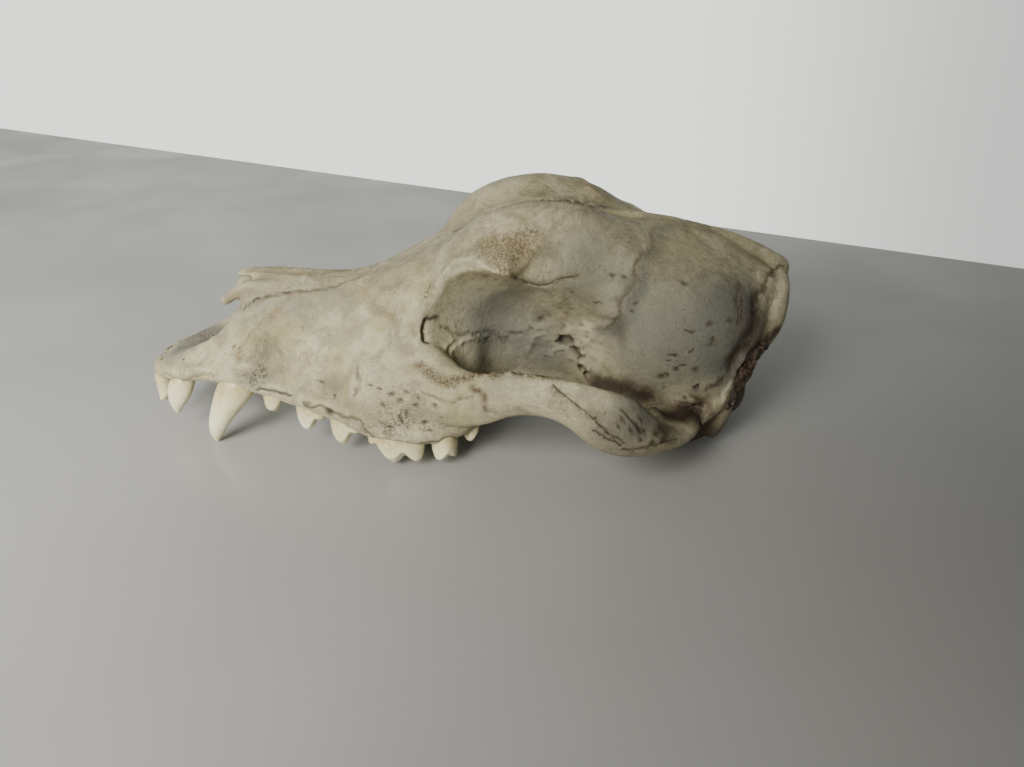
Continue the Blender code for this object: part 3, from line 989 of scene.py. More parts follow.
@dataclass(frozen=True)
class Dots(Touch):
    """Small round spots of colour or small holes.

    A spot's fourth number is its own reach, and its fifth its own depth.
    """

    points: Table
    # Stain, reach and strength.
    tints: tuple[tuple[Stain, float, float], ...] = ()
    # Radius and depth of each hole.
    hole: Row = (0.0, 0.0)
    along: Row = (0.0, 1.0, 0.0)
    spread: float = 1.0

    def press(self, surface: Surface) -> None:
        """Sinks the holes, where they have a depth.

        Args:
            surface: the bone's skin.
        """
        for side in self.sides():
            for point in self.points:
                radius, depth = point[3:5] if len(point) > 4 else self.hole
                if depth > 0.0:
                    surface.bore(side.flip(point[:3]), radius, side.flip(self.along), depth)

    def lay(self, paint: Paint) -> None:
        """Lays the spots.

        Args:
            paint: the bone's colour masks.
        """
        for side in self.sides():
            spots = [(*side.flip(point[:3]), *(self.spread * reach for reach in point[3:4]))
                     for point in self.points]
            for stain, reach, strength in self.tints:
                paint.spots(stain, spots, reach, strength)


@dataclass(frozen=True)
class Stroke(Touch):
    """A line on the bone: where it runs, its grooves or ridges and its colours."""

    points: Table
    # The step between its bends, how far they stray, and a seed.
    wave: Optional[Row] = None
    # Depth and width of each groove; a ridge has a negative depth.
    cuts: tuple[tuple[float, float], ...] = ()
    # Stain, width and strength.
    tints: tuple[tuple[Stain, float, float], ...] = ()
    # How the colour wavers, when it doesn't follow the groove.
    tint_wave: Optional[Row] = None
    # How far back the drawn line lies from the given one.
    shift: float = 0.0
    fade: float = 0.12
    # Whether the faces along it are split, and whether they are split twice.
    split: bool = True
    fine: bool = False

    def run(self, wave: Optional[Row]) -> list[Table]:
        """The drawn line on each side.

        Args:
            wave: how it wavers, or None for a plain line.

        Returns:
            The line of each side.
        """
        line = wander(self.points, *wave) if wave else self.points
        line = [(row[0] + self.shift, *row[1:]) for row in line]
        return both_sides(line) if self.paired else [tuple(line)]

    def press(self, surface: Surface) -> None:
        """Presses the grooves and raises the ridges.

        Args:
            surface: the bone's skin.
        """
        for line in self.run(self.wave):
            for depth, width in self.cuts:
                surface.score(line, depth, width, self.fade)

    def lay(self, paint: Paint) -> None:
        """Draws the colours.

        Args:
            paint: the bone's colour masks.
        """
        for line in self.run(self.tint_wave or self.wave):
            for stain, width, strength in self.tints:
                paint.draw(stain, line, width, strength)


@dataclass
class Region:
    """A part of the cranium that carries its own marks and colours, each of them a field."""

    def touches(self) -> list[Touch]:
        """Every mark of the region, in the order of its fields."""
        held = [getattr(self, entry.name) for entry in fields(self)]
        flat = [part for value in held
                for part in (value if isinstance(value, tuple) else (value,))]
        return [part for part in flat if isinstance(part, Touch)]

    def lines(self, fine: bool) -> list[Table]:
        """The lines whose faces are split.

        Args:
            fine: whether only those are wanted that need the finest faces.

        Returns:
            The lines of both sides.
        """
        strokes = [touch for touch in self.touches() if isinstance(touch, Stroke)]
        wanted = [stroke for stroke in strokes if (stroke.fine if fine else stroke.split)]
        return [line for stroke in wanted for line in stroke.run(None)]

    def mark(self, surface: Surface) -> None:
        """Presses every mark of the region into the skin."""
        for touch in self.touches():
            touch.press(surface)

    def stain(self, paint: Paint) -> None:
        """Lays every colour of the region on the skin."""
        for touch in self.touches():
            touch.lay(paint)


@dataclass
class Snout(Region):
    """Muzzle, cheeks and palate."""

    # x, lowest z, highest z, half width low down, half width at the top.
    stations: Table = (
        (-5.0, 17.0, 18.8, 6.0, 5.0),
        (-2.0, 16.6, 20.2, 9.8, 7.2),
        (1.0, 16.4, 21.8, 12.4, 8.6),
        (6.0, 16.8, 24.2, 14.5, 9.5),
        (12.0, 18.2, 27.2, 15.0, 10.0),
        (17.0, 19.0, 30.6, 16.2, 10.0),
        (21.0, 19.0, 34.4, 18.2, 9.8),
        (25.0, 18.4, 39.4, 19.6, 9.4),
        (30.0, 17.4, 45.4, 20.0, 8.6),
        (40.0, 14.6, 46.2, 20.5, 8.2),
        (50.0, 12.2, 45.4, 23.5, 8.6),
        (57.0, 10.6, 45.4, 27.2, 9.6),
        (64.0, 9.4, 46.8, 32.0, 12.6),
        (70.0, 8.8, 49.2, 35.6, 16.5),
        (76.0, 8.6, 52.0, 37.0, 20.5),
        (82.0, 9.0, 54.8, 36.0, 21.0),
        (88.0, 11.0, 57.2, 31.0, 20.0),
        (94.0, 15.0, 57.0, 23.0, 18.0),
    )
    squareness: float = 3.4
    fang_swelling: Blob = ((27.5, -14.6, 24.5), (7.0, 6.2, 11.0), 32.0)
    cheek: Blob = ((77.0, -24.0, 20.0), (20.0, 10.0, 13.0), 0.0)
    tooth_ridge: Table = (
        (-2.0, -2.5, 18.0, 2.6, 2.4),
        (0.4, -7.6, 18.4, 2.8, 2.5),
        (7.5, -12.2, 19.4, 2.8, 2.6),
        (15.0, -14.8, 21.0, 2.2, 2.6),
        (24.0, -16.8, 21.4, 3.4, 3.4),
        (33.0, -17.8, 18.6, 2.8, 3.2),
        (45.0, -20.6, 15.8, 2.9, 3.1),
        (56.5, -24.6, 13.5, 3.0, 3.2),
        (67.0, -29.4, 11.6, 3.6, 3.3),
        (77.0, -31.0, 11.4, 3.8, 3.3),
        (86.0, -28.4, 11.6, 4.2, 3.4),
        (92.5, -24.8, 13.6, 3.4, 3.4),
    )
    nose_tip: Table = (
        (25.0, 0.0, 45.2, 2.4, 0.9),
        (29.0, 0.0, 45.5, 3.2, 1.0),
        (36.0, 0.0, 44.9, 4.0, 1.2),
    )
    nose_prong: Table = (
        (21.2, -6.2, 38.8, 1.0, 1.4),
        (24.5, -6.4, 41.0, 1.2, 1.7),
        (29.0, -6.0, 43.0, 1.6, 1.8),
        (36.0, -5.4, 43.6, 2.0, 1.6),
    )
    nose_hollow: Table = (
        (-1.0, 0.0, 27.5, 5.0, 5.5),
        (8.0, 0.0, 29.0, 7.5, 7.5),
        (16.0, 0.0, 31.5, 8.6, 10.5),
        (26.0, 0.0, 32.0, 9.0, 11.8),
        (40.0, 0.0, 31.0, 9.0, 11.5),
        (56.0, 0.0, 29.0, 8.0, 10.0),
    )
    nose_floor_ridge: Table = (
        (10.0, 0.0, 21.6, 0.7, 1.2),
        (22.0, 0.0, 21.4, 0.8, 2.0),
        (40.0, 0.0, 20.6, 0.8, 3.0),
        (56.0, 0.0, 21.0, 0.9, 4.0),
    )
    fang_dip: Swell = Swell((53.5, -22.0, 23.0), (9.0, 6.0, 8.5), -1.1)
    root_swelling: Swell = Swell((64.5, -30.0, 26.0), (4.0, 4.0, 9.0), 0.5)
    crack: Stroke = Stroke((
        (27.6, -9.5, 38.2), (28.7, -9.4, 39.1), (31.6, -9.4, 40.3), (33.9, -9.0, 41.0),
        (36.1, -8.6, 41.4), (38.2, -8.2, 41.9), (41.0, -7.8, 42.1),
    ), cuts=((0.9, 0.55),), tints=((Stain.DIRT, 0.5, 1.0),), fine=True)
    middle_seam: Stroke = Stroke((
        (28.0, 0.0, 46.2), (40.0, 0.0, 45.4), (55.0, 0.0, 44.8), (64.0, 0.0, 46.0),
        (74.0, 0.0, 50.0), (86.0, 0.0, 56.5),
    ), (1.6, 0.5, 3.0), ((0.35, 0.8),), paired=False)
    nose_seam: Stroke = Stroke((
        (41.0, -7.8, 42.1), (45.0, -7.3, 42.4), (49.2, -7.0, 42.5), (53.2, -6.2, 43.1),
        (57.2, -4.8, 44.1), (60.6, -4.4, 44.8),
    ), (1.4, 0.7, 7.0), ((0.3, 0.75),), ((Stain.LINE, 0.6, 0.55),))
    top_seam: Stroke = Stroke((
        (30.8, -1.9, 46.2), (38.1, -1.6, 45.4), (48.1, -1.7, 44.6), (58.1, -1.8, 44.7),
        (62.5, -2.1, 45.6), (67.1, -3.4, 47.0), (71.8, -5.7, 49.0), (75.4, -7.3, 50.7),
        (78.4, -8.8, 52.1),
    ), (1.4, 0.7, 0.0), ((0.3, 0.75),), ((Stain.OCHRE, 0.7, 0.6),))
    muzzle_seam: Stroke = Stroke((
        (44.3, -7.8, 42.0), (41.1, -9.0, 40.7), (38.4, -10.2, 39.1), (35.9, -11.4, 37.2),
        (33.6, -12.8, 35.4), (31.8, -15.1, 33.7), (30.1, -17.4, 32.1), (28.8, -18.7, 30.3),
        (27.9, -19.6, 28.0), (26.7, -19.9, 25.4),
    ), (1.4, 0.7, 14.0), ((0.3, 0.75),), ((Stain.OCHRE, 0.9, 0.5),))
    cheek_seam: Stroke = Stroke((
        (78.7, -32.9, 24.9), (82.0, -35.1, 24.7), (85.0, -36.9, 24.5), (87.4, -38.1, 24.6),
        (89.8, -39.1, 26.1), (92.7, -40.3, 27.3), (94.7, -41.0, 28.8),
    ), (1.4, 0.7, 21.0), ((0.3, 0.75),), ((Stain.BROWN, 0.6, 0.6),))
    gum_front: Stroke = Stroke((
        (2.0, -12.1, 19.5), (5.4, -14.1, 19.0), (8.5, -14.7, 18.0), (12.7, -16.2, 19.8),
        (16.7, -17.7, 21.5), (21.2, -19.1, 22.9),
    ), (1.5, 0.45, 5.0), ((0.25, 0.8),), ((Stain.DIRT, 0.7, 0.3),))
    gum_middle: Stroke = Stroke((
        (31.4, -20.3, 18.2), (34.4, -20.8, 18.5), (37.3, -21.4, 18.2), (40.5, -22.0, 17.9),
        (42.8, -22.6, 17.6),
    ), (1.5, 0.45, 5.0), ((0.25, 0.8),), ((Stain.DIRT, 0.7, 0.95),))
    gum_rear: Stroke = Stroke((
        (45.1, -23.6, 15.9), (47.0, -24.1, 14.7), (49.5, -24.8, 15.7), (52.2, -25.7, 15.6),
        (54.2, -26.6, 14.9), (56.6, -27.8, 14.0), (59.3, -28.9, 14.4), (62.0, -30.3, 14.3),
        (63.7, -31.8, 12.1), (66.4, -32.6, 10.4), (70.0, -33.5, 9.6), (74.0, -33.8, 9.2),
        (78.0, -33.6, 9.6), (81.7, -33.6, 9.9), (85.0, -32.5, 9.6), (88.5, -30.0, 10.2),
    ), (1.5, 0.45, 5.0), ((0.25, 0.8),), ((Stain.DIRT, 0.7, 0.75),))
    nerve_hole: Stroke = Stroke((
        (61.0, -24.0, 28.3), (62.3, -27.2, 26.8), (62.2, -29.2, 24.2), (60.8, -29.0, 21.4),
    ), cuts=((1.6, 1.5),), tints=((Stain.DIRT, 0.8, 0.65),), fade=0.3)
    pits: Dots = Dots((
        (68.6, -31.7, 25.1), (71.6, -32.5, 24.7), (75.3, -32.8, 24.9), (73.9, -33.6, 15.7),
        (69.2, -32.8, 20.1), (72.8, -33.4, 18.3), (77.2, -33.7, 20.9), (79.7, -33.5, 15.7),
        (79.1, -33.5, 22.6), (83.0, -35.7, 22.4), (84.6, -35.9, 19.0), (84.6, -32.9, 14.7),
        (70.3, -33.2, 13.9), (49.4, -19.3, 20.8), (54.1, -23.0, 18.1), (75.7, -33.7, 18.5),
        (66.2, -30.5, 25.9), (73.9, -33.3, 22.5), (81.1, -33.6, 13.5), (26.4, -17.7, 30.7),
        (19.3, -18.7, 21.4), (33.9, -19.2, 21.7), (33.5, -18.8, 23.3), (81.2, -20.8, 47.6),
        (81.7, -20.3, 48.7), (80.7, -21.5, 46.2), (83.4, -20.5, 50.5),
    ), ((Stain.DIRT, 0.5, 0.9), (Stain.PORES, 3.2, 0.3)), hole=(0.45, 0.5))
    rust: Dots = Dots((
        (62.7, -10.3, 42.9, 2.6), (64.8, -13.7, 41.4, 2.8), (68.9, -17.3, 41.4, 3.6),
        (70.0, -20.1, 39.2, 3.2), (72.7, -22.7, 38.6, 2.6), (75.5, -17.4, 47.1, 3.4),
        (74.7, -21.3, 42.5, 2.6), (75.7, -27.8, 32.7, 2.4), (77.4, -30.2, 30.2, 3.0),
        (36.0, -11.0, 38.0, 3.0), (25.0, -6.5, 41.0, 4.0), (80.0, -14.0, 52.0, 5.0),
    ), ((Stain.OCHRE, 3.0, 0.75),))
    olive: Dots = Dots((
        (39.7, -13.2, 33.2, 7.0), (55.4, -18.7, 26.1, 6.0), (57.4, -24.5, 21.7, 6.5),
        (67.0, -18.9, 37.2, 3.6), (79.0, -19.6, 47.4, 5.0), (75.5, -12.4, 49.7, 5.0),
        (30.0, -16.0, 30.0, 6.0), (90.0, -38.5, 22.0, 6.0),
    ), ((Stain.OLIVE, 5.0, 0.6),))
    washes: tuple[Wash, ...] = (
        Wash(Stain.SLATE, (31.5, -20.0, 21.5), (7.0, 4.0, 4.5), 0.6),
        Wash(Stain.PORES, (31.0, -20.0, 22.0), (6.5, 4.0, 5.0), 0.9),
        Wash(Stain.PORES, (28.0, -19.0, 28.5), (3.0, 3.0, 3.5), 0.8),
        Wash(Stain.DIRT, (70.0, -33.7, 12.8), (3.4, 2.0, 2.6), 0.5),
        Wash(Stain.DIRT, (52.7, -26.1, 14.6), (1.8, 1.6, 1.8), 1.0),
        Wash(Stain.DIRT, (46.6, -23.9, 16.1), (2.2, 1.4, 1.2), 0.7),
        Wash(Stain.CHALK, (63.0, -14.5, 39.5), (3.5, 4.0, 3.0), 0.7),
        Wash(Stain.CHALK, (54.0, -13.0, 36.4), (7.0, 5.0, 3.0), 0.5),
        Wash(Stain.SLATE, (38.0, -8.0, 38.0), (34.0, 9.0, 9.0), 0.6),
        Wash(Stain.PORES, (70.0, -33.0, 15.0), (15.0, 7.0, 9.0), 0.6),
        # Inside the nose opening the slate and dirt washes are grey bone with painted shade in the
        # recess.
        Wash(Stain.SLATE, (10.0, -4.0, 23.0), (18.0, 7.0, 9.0), 1.3),
        Wash(Stain.DIRT, (16.0, -3.0, 27.0), (14.0, 7.0, 8.0), 0.6),
        Wash(Stain.PORES, (9.0, -5.0, 22.0), (9.0, 5.0, 6.0), 0.6),
        Wash(Stain.CHALK, (62.0, -25.0, 30.0), (26.0, 14.0, 14.0), 0.35, paired=False),
    )

    def _rounded(self, value: float) -> float:
        """A sine or cosine pushed outwards, which squares a circle of them."""
        return math.copysign(abs(value) ** (2 / self.squareness), value)

    def press_mass(self, clay: Clay) -> None:
        """Adds the snout's rounded, tapering body, its cheeks and the ridge that holds the teeth.

        Args:
            clay: the clay to press them into.
        """
        rings = []
        for x, low, high, half_low, half_high in smooth_path(self.stations, 4):
            ring = []
            for angle in around(RING_POINTS):
                across, rise = self._rounded(math.cos(angle)), self._rounded(math.sin(angle))
                half = half_low + (half_high - half_low) * (rise + 1) / 2
                ring.append((x, across * half, (low + high) / 2 + rise * (high - low) / 2))
            rings.append(ring)
        clay.rings(rings)
        clay.balls(self.fang_swelling, self.cheek)
        clay.tubes(self.tooth_ridge)

    def press_crisp(self, clay: Clay) -> None:
        """Adds the thin forms: tooth ridge, nasal tip, prongs and the ridge on the nose floor."""
        clay.tubes(self.tooth_ridge, self.nose_prong)
        clay.tube(self.nose_tip)
        clay.tube(self.nose_floor_ridge)


@dataclass
class EyeSocket(Region):
    """Orbit, the gap below it and the hollow beside the braincase."""

    rim_hollow: Table = (
        (75.5, -32.5, 43.0, 6.5, 9.0),
        (82.0, -33.5, 43.0, 11.5, 13.5),
        (90.0, -34.0, 42.3, 16.0, 16.5),
        (98.0, -35.5, 39.5, 19.5, 16.0),
        (105.0, -39.0, 38.0, 24.0, 14.5),
        (111.0, -43.0, 34.0, 22.0, 9.0),
    )
    temple_hollow: Table = (
        (98.0, -38.5, 38.0, 22.0, 12.0),
        (104.0, -37.5, 38.0, 24.0, 16.5),
        (112.0, -39.0, 35.5, 26.5, 17.5),
        (119.0, -42.0, 31.5, 27.0, 16.5),
        (126.0, -44.5, 27.0, 19.0, 12.5),
        (133.0, -45.0, 25.0, 11.0, 9.0),
    )
    lower_gap: Table = (
        (91.0, -34.0, 31.0, 14.5, 9.0),
        (99.5, -35.0, 24.5, 19.0, 14.5),
        (107.0, -34.0, 21.0, 22.0, 19.5),
        (116.0, -35.0, 17.5, 22.5, 20.0),
        (125.0, -38.0, 13.0, 20.0, 16.0),
    )
    washes: tuple[Wash, ...] = (
        Wash(Stain.SLATE, (96.0, -15.0, 36.0), (22.0, 11.0, 26.0), 1.0),
        Wash(Stain.SLATE, (113.0, -11.0, 27.0), (16.0, 8.0, 16.0), 0.9),
    )
    pore_patch: Dots = Dots(((88.1, -19.9, 37.6, 1.8),), ((Stain.PORES, 1.8, 1.0),))
    # Holes in the inner wall: x, y, z, radius, depth.
    holes: Dots = Dots((
        (83.4, -22.0, 41.2, 0.6, 1.2), (108.2, -13.8, 34.6, 0.6, 1.2),
        (111.2, -13.5, 37.8, 1.3, 1.6), (116.7, -14.1, 30.3, 1.9, 3.2),
        (120.1, -14.8, 27.8, 1.4, 2.6), (121.6, -14.9, 25.6, 1.2, 2.4),
        (121.9, -13.9, 21.9, 1.1, 2.2), (123.4, -14.4, 20.2, 1.2, 2.2),
        (117.9, -20.4, 47.4, 0.5, 0.8),
    ), ((Stain.DIRT, 1.0, 1.3),), along=(0.05, 1.0, -0.15), spread=1.15)
    smudges: Dots = Dots((
        (115.4, -14.2, 40.1, 1.2), (117.6, -14.1, 38.6, 1.1), (118.3, -15.2, 41.1, 0.9),
        (117.2, -13.6, 34.9, 0.8), (122.0, -14.5, 35.2, 0.9), (123.2, -14.9, 32.5, 0.8),
        (124.3, -15.4, 30.9, 0.8), (122.6, -14.6, 33.8, 0.7), (94.5, -16.6, 25.4, 0.8),
        (95.9, -14.2, 23.2, 0.8), (96.4, -22.7, 52.6, 1.6), (98.6, -21.9, 51.2, 1.4),
    ), ((Stain.BROWN, 1.0, 0.8),))
    wall_seam: Stroke = Stroke((
        (83.9, -22.1, 38.6), (85.9, -21.3, 36.8), (87.8, -20.7, 35.4), (90.4, -19.5, 35.2),
        (93.5, -17.9, 34.4), (96.6, -15.7, 33.7), (98.7, -14.8, 32.1), (100.5, -14.1, 30.3),
        (101.9, -14.3, 31.9), (103.8, -14.2, 32.8), (105.8, -14.1, 32.7), (107.7, -13.9, 34.4),
    ), (1.3, 0.8, 2.0), ((0.35, 0.6),), ((Stain.LINE, 0.5, 0.6),))
    tear_slit: Stroke = Stroke((
        (81.6, -23.4, 40.9), (80.4, -24.2, 40.4), (79.8, -25.0, 38.5), (80.1, -25.6, 36.8),
        (80.8, -26.0, 35.3),
    ), cuts=((1.2, 0.9),), tints=((Stain.DIRT, 0.9, 1.0),), fine=True)
    rough_rim: Stroke = Stroke((
        (79.3, -30.5, 31.5), (81.3, -32.8, 30.1), (83.8, -34.7, 29.4), (86.4, -36.0, 29.5),
        (89.3, -37.1, 30.1), (92.1, -38.0, 30.8), (95.1, -38.8, 31.6), (97.7, -40.0, 32.6),
        (102.6, -41.5, 33.8), (107.0, -43.0, 34.4), (112.0, -44.2, 34.2), (117.0, -45.4, 33.6),
    ), cuts=((-0.3, 1.6),), tints=((Stain.PORES, 2.6, 1.0), (Stain.BROWN, 1.9, 0.6)))
    # How far from the rough rim its lumps reach, how large and how high they are.
    lumps: Row = (2.2, 1.3, 0.7)
    rim: Stroke = Stroke((
        (83.4, -21.0, 49.5), (85.9, -21.4, 52.7), (87.5, -21.0, 54.6), (89.3, -21.0, 55.7),
        (91.4, -21.3, 56.3), (93.4, -22.2, 56.3), (95.5, -23.4, 55.7), (97.8, -24.7, 54.9),
        (100.0, -25.8, 54.2), (102.5, -25.6, 53.1),
    ), cuts=((-0.5, 1.1),), tints=((Stain.CHALK, 1.0, 0.7),))
    rim_front: Stroke = Stroke((
        (83.4, -21.0, 49.5), (81.7, -21.3, 47.2), (80.7, -22.3, 44.9), (79.7, -23.7, 42.2),
        (79.1, -25.1, 39.1), (78.8, -26.3, 36.3), (78.6, -28.0, 33.7), (79.3, -30.5, 31.5),
    ), cuts=((-0.35, 1.3),))
    red_stain: Stroke = Stroke((
        (93.7, -39.7, 30.1), (95.3, -41.0, 29.4), (96.8, -42.0, 28.8), (96.2, -42.1, 26.6),
        (96.7, -42.1, 24.4),
    ), (1.0, 1.1, 9.0), tints=((Stain.BROWN, 1.3, 1.0),))
    folds: tuple[Stroke, ...] = tuple(
        Stroke(points, (1.2, 0.5, 6.0), ((-0.55, 0.7),),
               ((Stain.CHALK, 0.5, 0.35),)) for points in (
            ((101.3, -13.8, 29.3), (102.4, -13.0, 26.4), (104.6, -12.4, 25.2), (106.6, -12.3, 25.4),
             (107.4, -12.8, 28.2), (108.5, -13.6, 31.0), (110.1, -13.8, 32.0), (111.8, -13.4, 29.6),
             (113.2, -12.9, 27.3)),
            ((106.6, -12.2, 25.1), (109.6, -11.9, 24.6), (112.4, -12.1, 25.1), (114.6, -13.1, 27.1),
             (115.7, -13.8, 28.6)),
            ((108.5, -13.8, 34.6), (110.4, -13.7, 34.0), (112.6, -13.5, 34.8), (114.5, -13.5, 34.8),
             (116.1, -13.8, 32.6)),
            ((117.4, -13.1, 24.9), (119.9, -14.0, 24.7), (122.4, -14.6, 23.2), (124.1, -14.8, 20.8),
             (125.0, -15.0, 19.0)),
        ))
    rear_edge: Stroke = Stroke((
        (117.2, -13.6, 35.8), (118.8, -14.1, 32.7), (120.5, -14.8, 29.7), (122.3, -15.3, 26.3),
        (123.5, -15.2, 23.5),
    ), (1.6, 0.5, 4.0), ((-0.7, 0.8),), ((Stain.CHALK, 0.5, 0.35),), tint_wave=(1.2, 0.5, 6.0))
    wall_ridge: Stroke = Stroke((
        (86.0, -24.5, 27.5), (86.5, -23.0, 31.0), (88.0, -21.4, 32.3), (89.8, -20.3, 33.2),
        (92.4, -18.9, 33.4), (95.5, -16.3, 32.8), (98.4, -14.9, 32.2),
    ), (1.6, 0.5, 4.0), ((-0.6, 0.8),), ((Stain.CHALK, 0.5, 0.35),), tint_wave=(1.2, 0.5, 6.0))
    short_ridge: Stroke = Stroke((
        (84.0, -25.0, 31.0), (85.1, -23.7, 32.8), (86.8, -21.8, 33.9), (88.8, -20.4, 34.7),
    ), (1.6, 0.5, 4.0), ((-0.5, 0.8),))

    def mark(self, surface: Surface) -> None:
        """Presses the socket's marks and makes its lower rim lumpy.

        Args:
            surface: the bone's skin.
        """
        super().mark(surface)
        reach, size, height = self.lumps
        for line in both_sides(self.rough_rim.points):
            index, away, _ = surface.near_line(line, reach)
            surface.roughen(index, bell(away / reach), size, height)


@dataclass
class Forehead(Region):
    """Frontal bulges, brows and the processes behind the orbits."""

    left_bulge: Blob = ((111.5, -11.4, 49.4), (28.0, 11.2, 19.0), 3.0)
    right_bulge: Blob = ((111.0, -11.8, 50.6), (29.0, 11.5, 19.8), 3.0)
    middle: Blob = ((112.0, 0.0, 49.0), (27.0, 12.0, 17.0), 0.0)
    brow: Blob = ((95.0, -13.0, 50.5), (15.0, 13.0, 9.0), -8.0)
    temple: Blob = ((127.5, -8.5, 45.5), (20.0, 14.5, 17.5), 0.0)
    process: Table = (
        (100.0, -12.0, 56.5, 8.0, 6.0),
        (100.8, -19.0, 55.6, 6.0, 4.4),
        (101.6, -24.5, 54.4, 3.4, 3.0),
        (102.0, -27.0, 53.4, 1.8, 2.0),
    )
    dip: Swell = Swell((112.5, -20.5, 57.0), (4.5, 5.0, 7.0), -0.9)
    middle_seam: Stroke = Stroke((
        (86.0, 0.0, 56.5), (95.0, 0.0, 60.5), (99.2, 0.0, 62.5), (105.0, 0.0, 64.5),
        (110.3, 0.0, 65.0), (118.0, 0.0, 65.0), (126.2, 0.0, 64.0), (132.0, 0.0, 62.5),
    ), (1.3, 0.6, 1.0), ((0.45, 0.8),), ((Stain.BROWN, 0.7, 0.8),), paired=False, fine=True)
    under_seam: Stroke = Stroke((
        (103.0, -25.2, 52.9), (105.1, -22.2, 50.8), (107.7, -20.7, 49.4), (110.5, -20.0, 48.6),
        (113.0, -21.3, 49.6), (115.5, -21.9, 50.6), (118.7, -21.9, 51.7), (121.2, -21.6, 52.6),
    ), (1.5, 0.5, 8.0), ((0.4, 0.8),), ((Stain.BROWN, 0.7, 0.8),), fine=True)
    temple_line: Stroke = Stroke((
        (103.4, -25.0, 52.8), (104.2, -24.3, 53.7), (106.4, -22.4, 55.9), (108.4, -21.2, 58.3),
        (110.1, -20.1, 60.8), (111.9, -18.9, 63.0), (113.9, -17.6, 64.6), (116.4, -16.1, 65.7),
        (119.2, -14.3, 66.2), (124.0, -9.0, 66.0), (130.0, -4.0, 64.0),
    ), cuts=((-0.55, 1.6),), tints=((Stain.OCHRE, 1.6, 0.55),))
    porous: Dots = Dots((
        (95.9, -19.7, 59.1, 4.0), (99.9, -20.2, 60.0, 4.4), (104.2, -20.0, 60.8, 4.4),
        (108.1, -19.8, 61.4, 3.4), (99.0, -23.3, 57.2, 4.0), (103.2, -23.3, 57.2, 3.6),
        (106.7, -21.2, 58.6, 3.0), (101.3, -25.9, 55.0, 3.0),
    ), ((Stain.PORES, 4.0, 0.9), (Stain.OCHRE, 4.0, 0.5)))
    # The size and height of the porous patch's lumps.
    lumps: Row = (1.1, 0.35)
    washes: tuple[Wash, ...] = (
        Wash(Stain.SLATE, (122.0, -18.0, 54.0), (18.0, 14.0, 16.0), 0.75),
        Wash(Stain.OCHRE, (84.0, -9.0, 55.0), (14.0, 8.0, 7.0), 0.35),
    )
    pits: Dots = Dots(((111.6, -0.5, 65.6), (127.0, 3.2, 63.0)), ((Stain.DIRT, 0.9, 1.2),),
                      hole=(0.7, 0.8), along=(0.0, 0.0, -1.0), paired=False)

    def press_mass(self, clay: Clay) -> None:
        """Adds the domes and the root of the process behind each orbit."""
        clay.ball(*self.left_bulge, Side.LEFT)
        clay.ball(*self.right_bulge, Side.RIGHT)
        clay.ball(*self.middle)
        clay.balls(self.brow, self.temple)
        clay.tubes(self.process)

    def mark(self, surface: Surface) -> None:
        """Presses the forehead's marks and roughens its porous patch.

        Args:
            surface: the bone's skin.
        """
        super().mark(surface)
        for side in Side:
            for x, y, z, reach in self.porous.points:
                index, share = surface.within((x, y * side.value, z), (reach, reach, reach))
                surface.roughen(index, bell(share), *self.lumps)


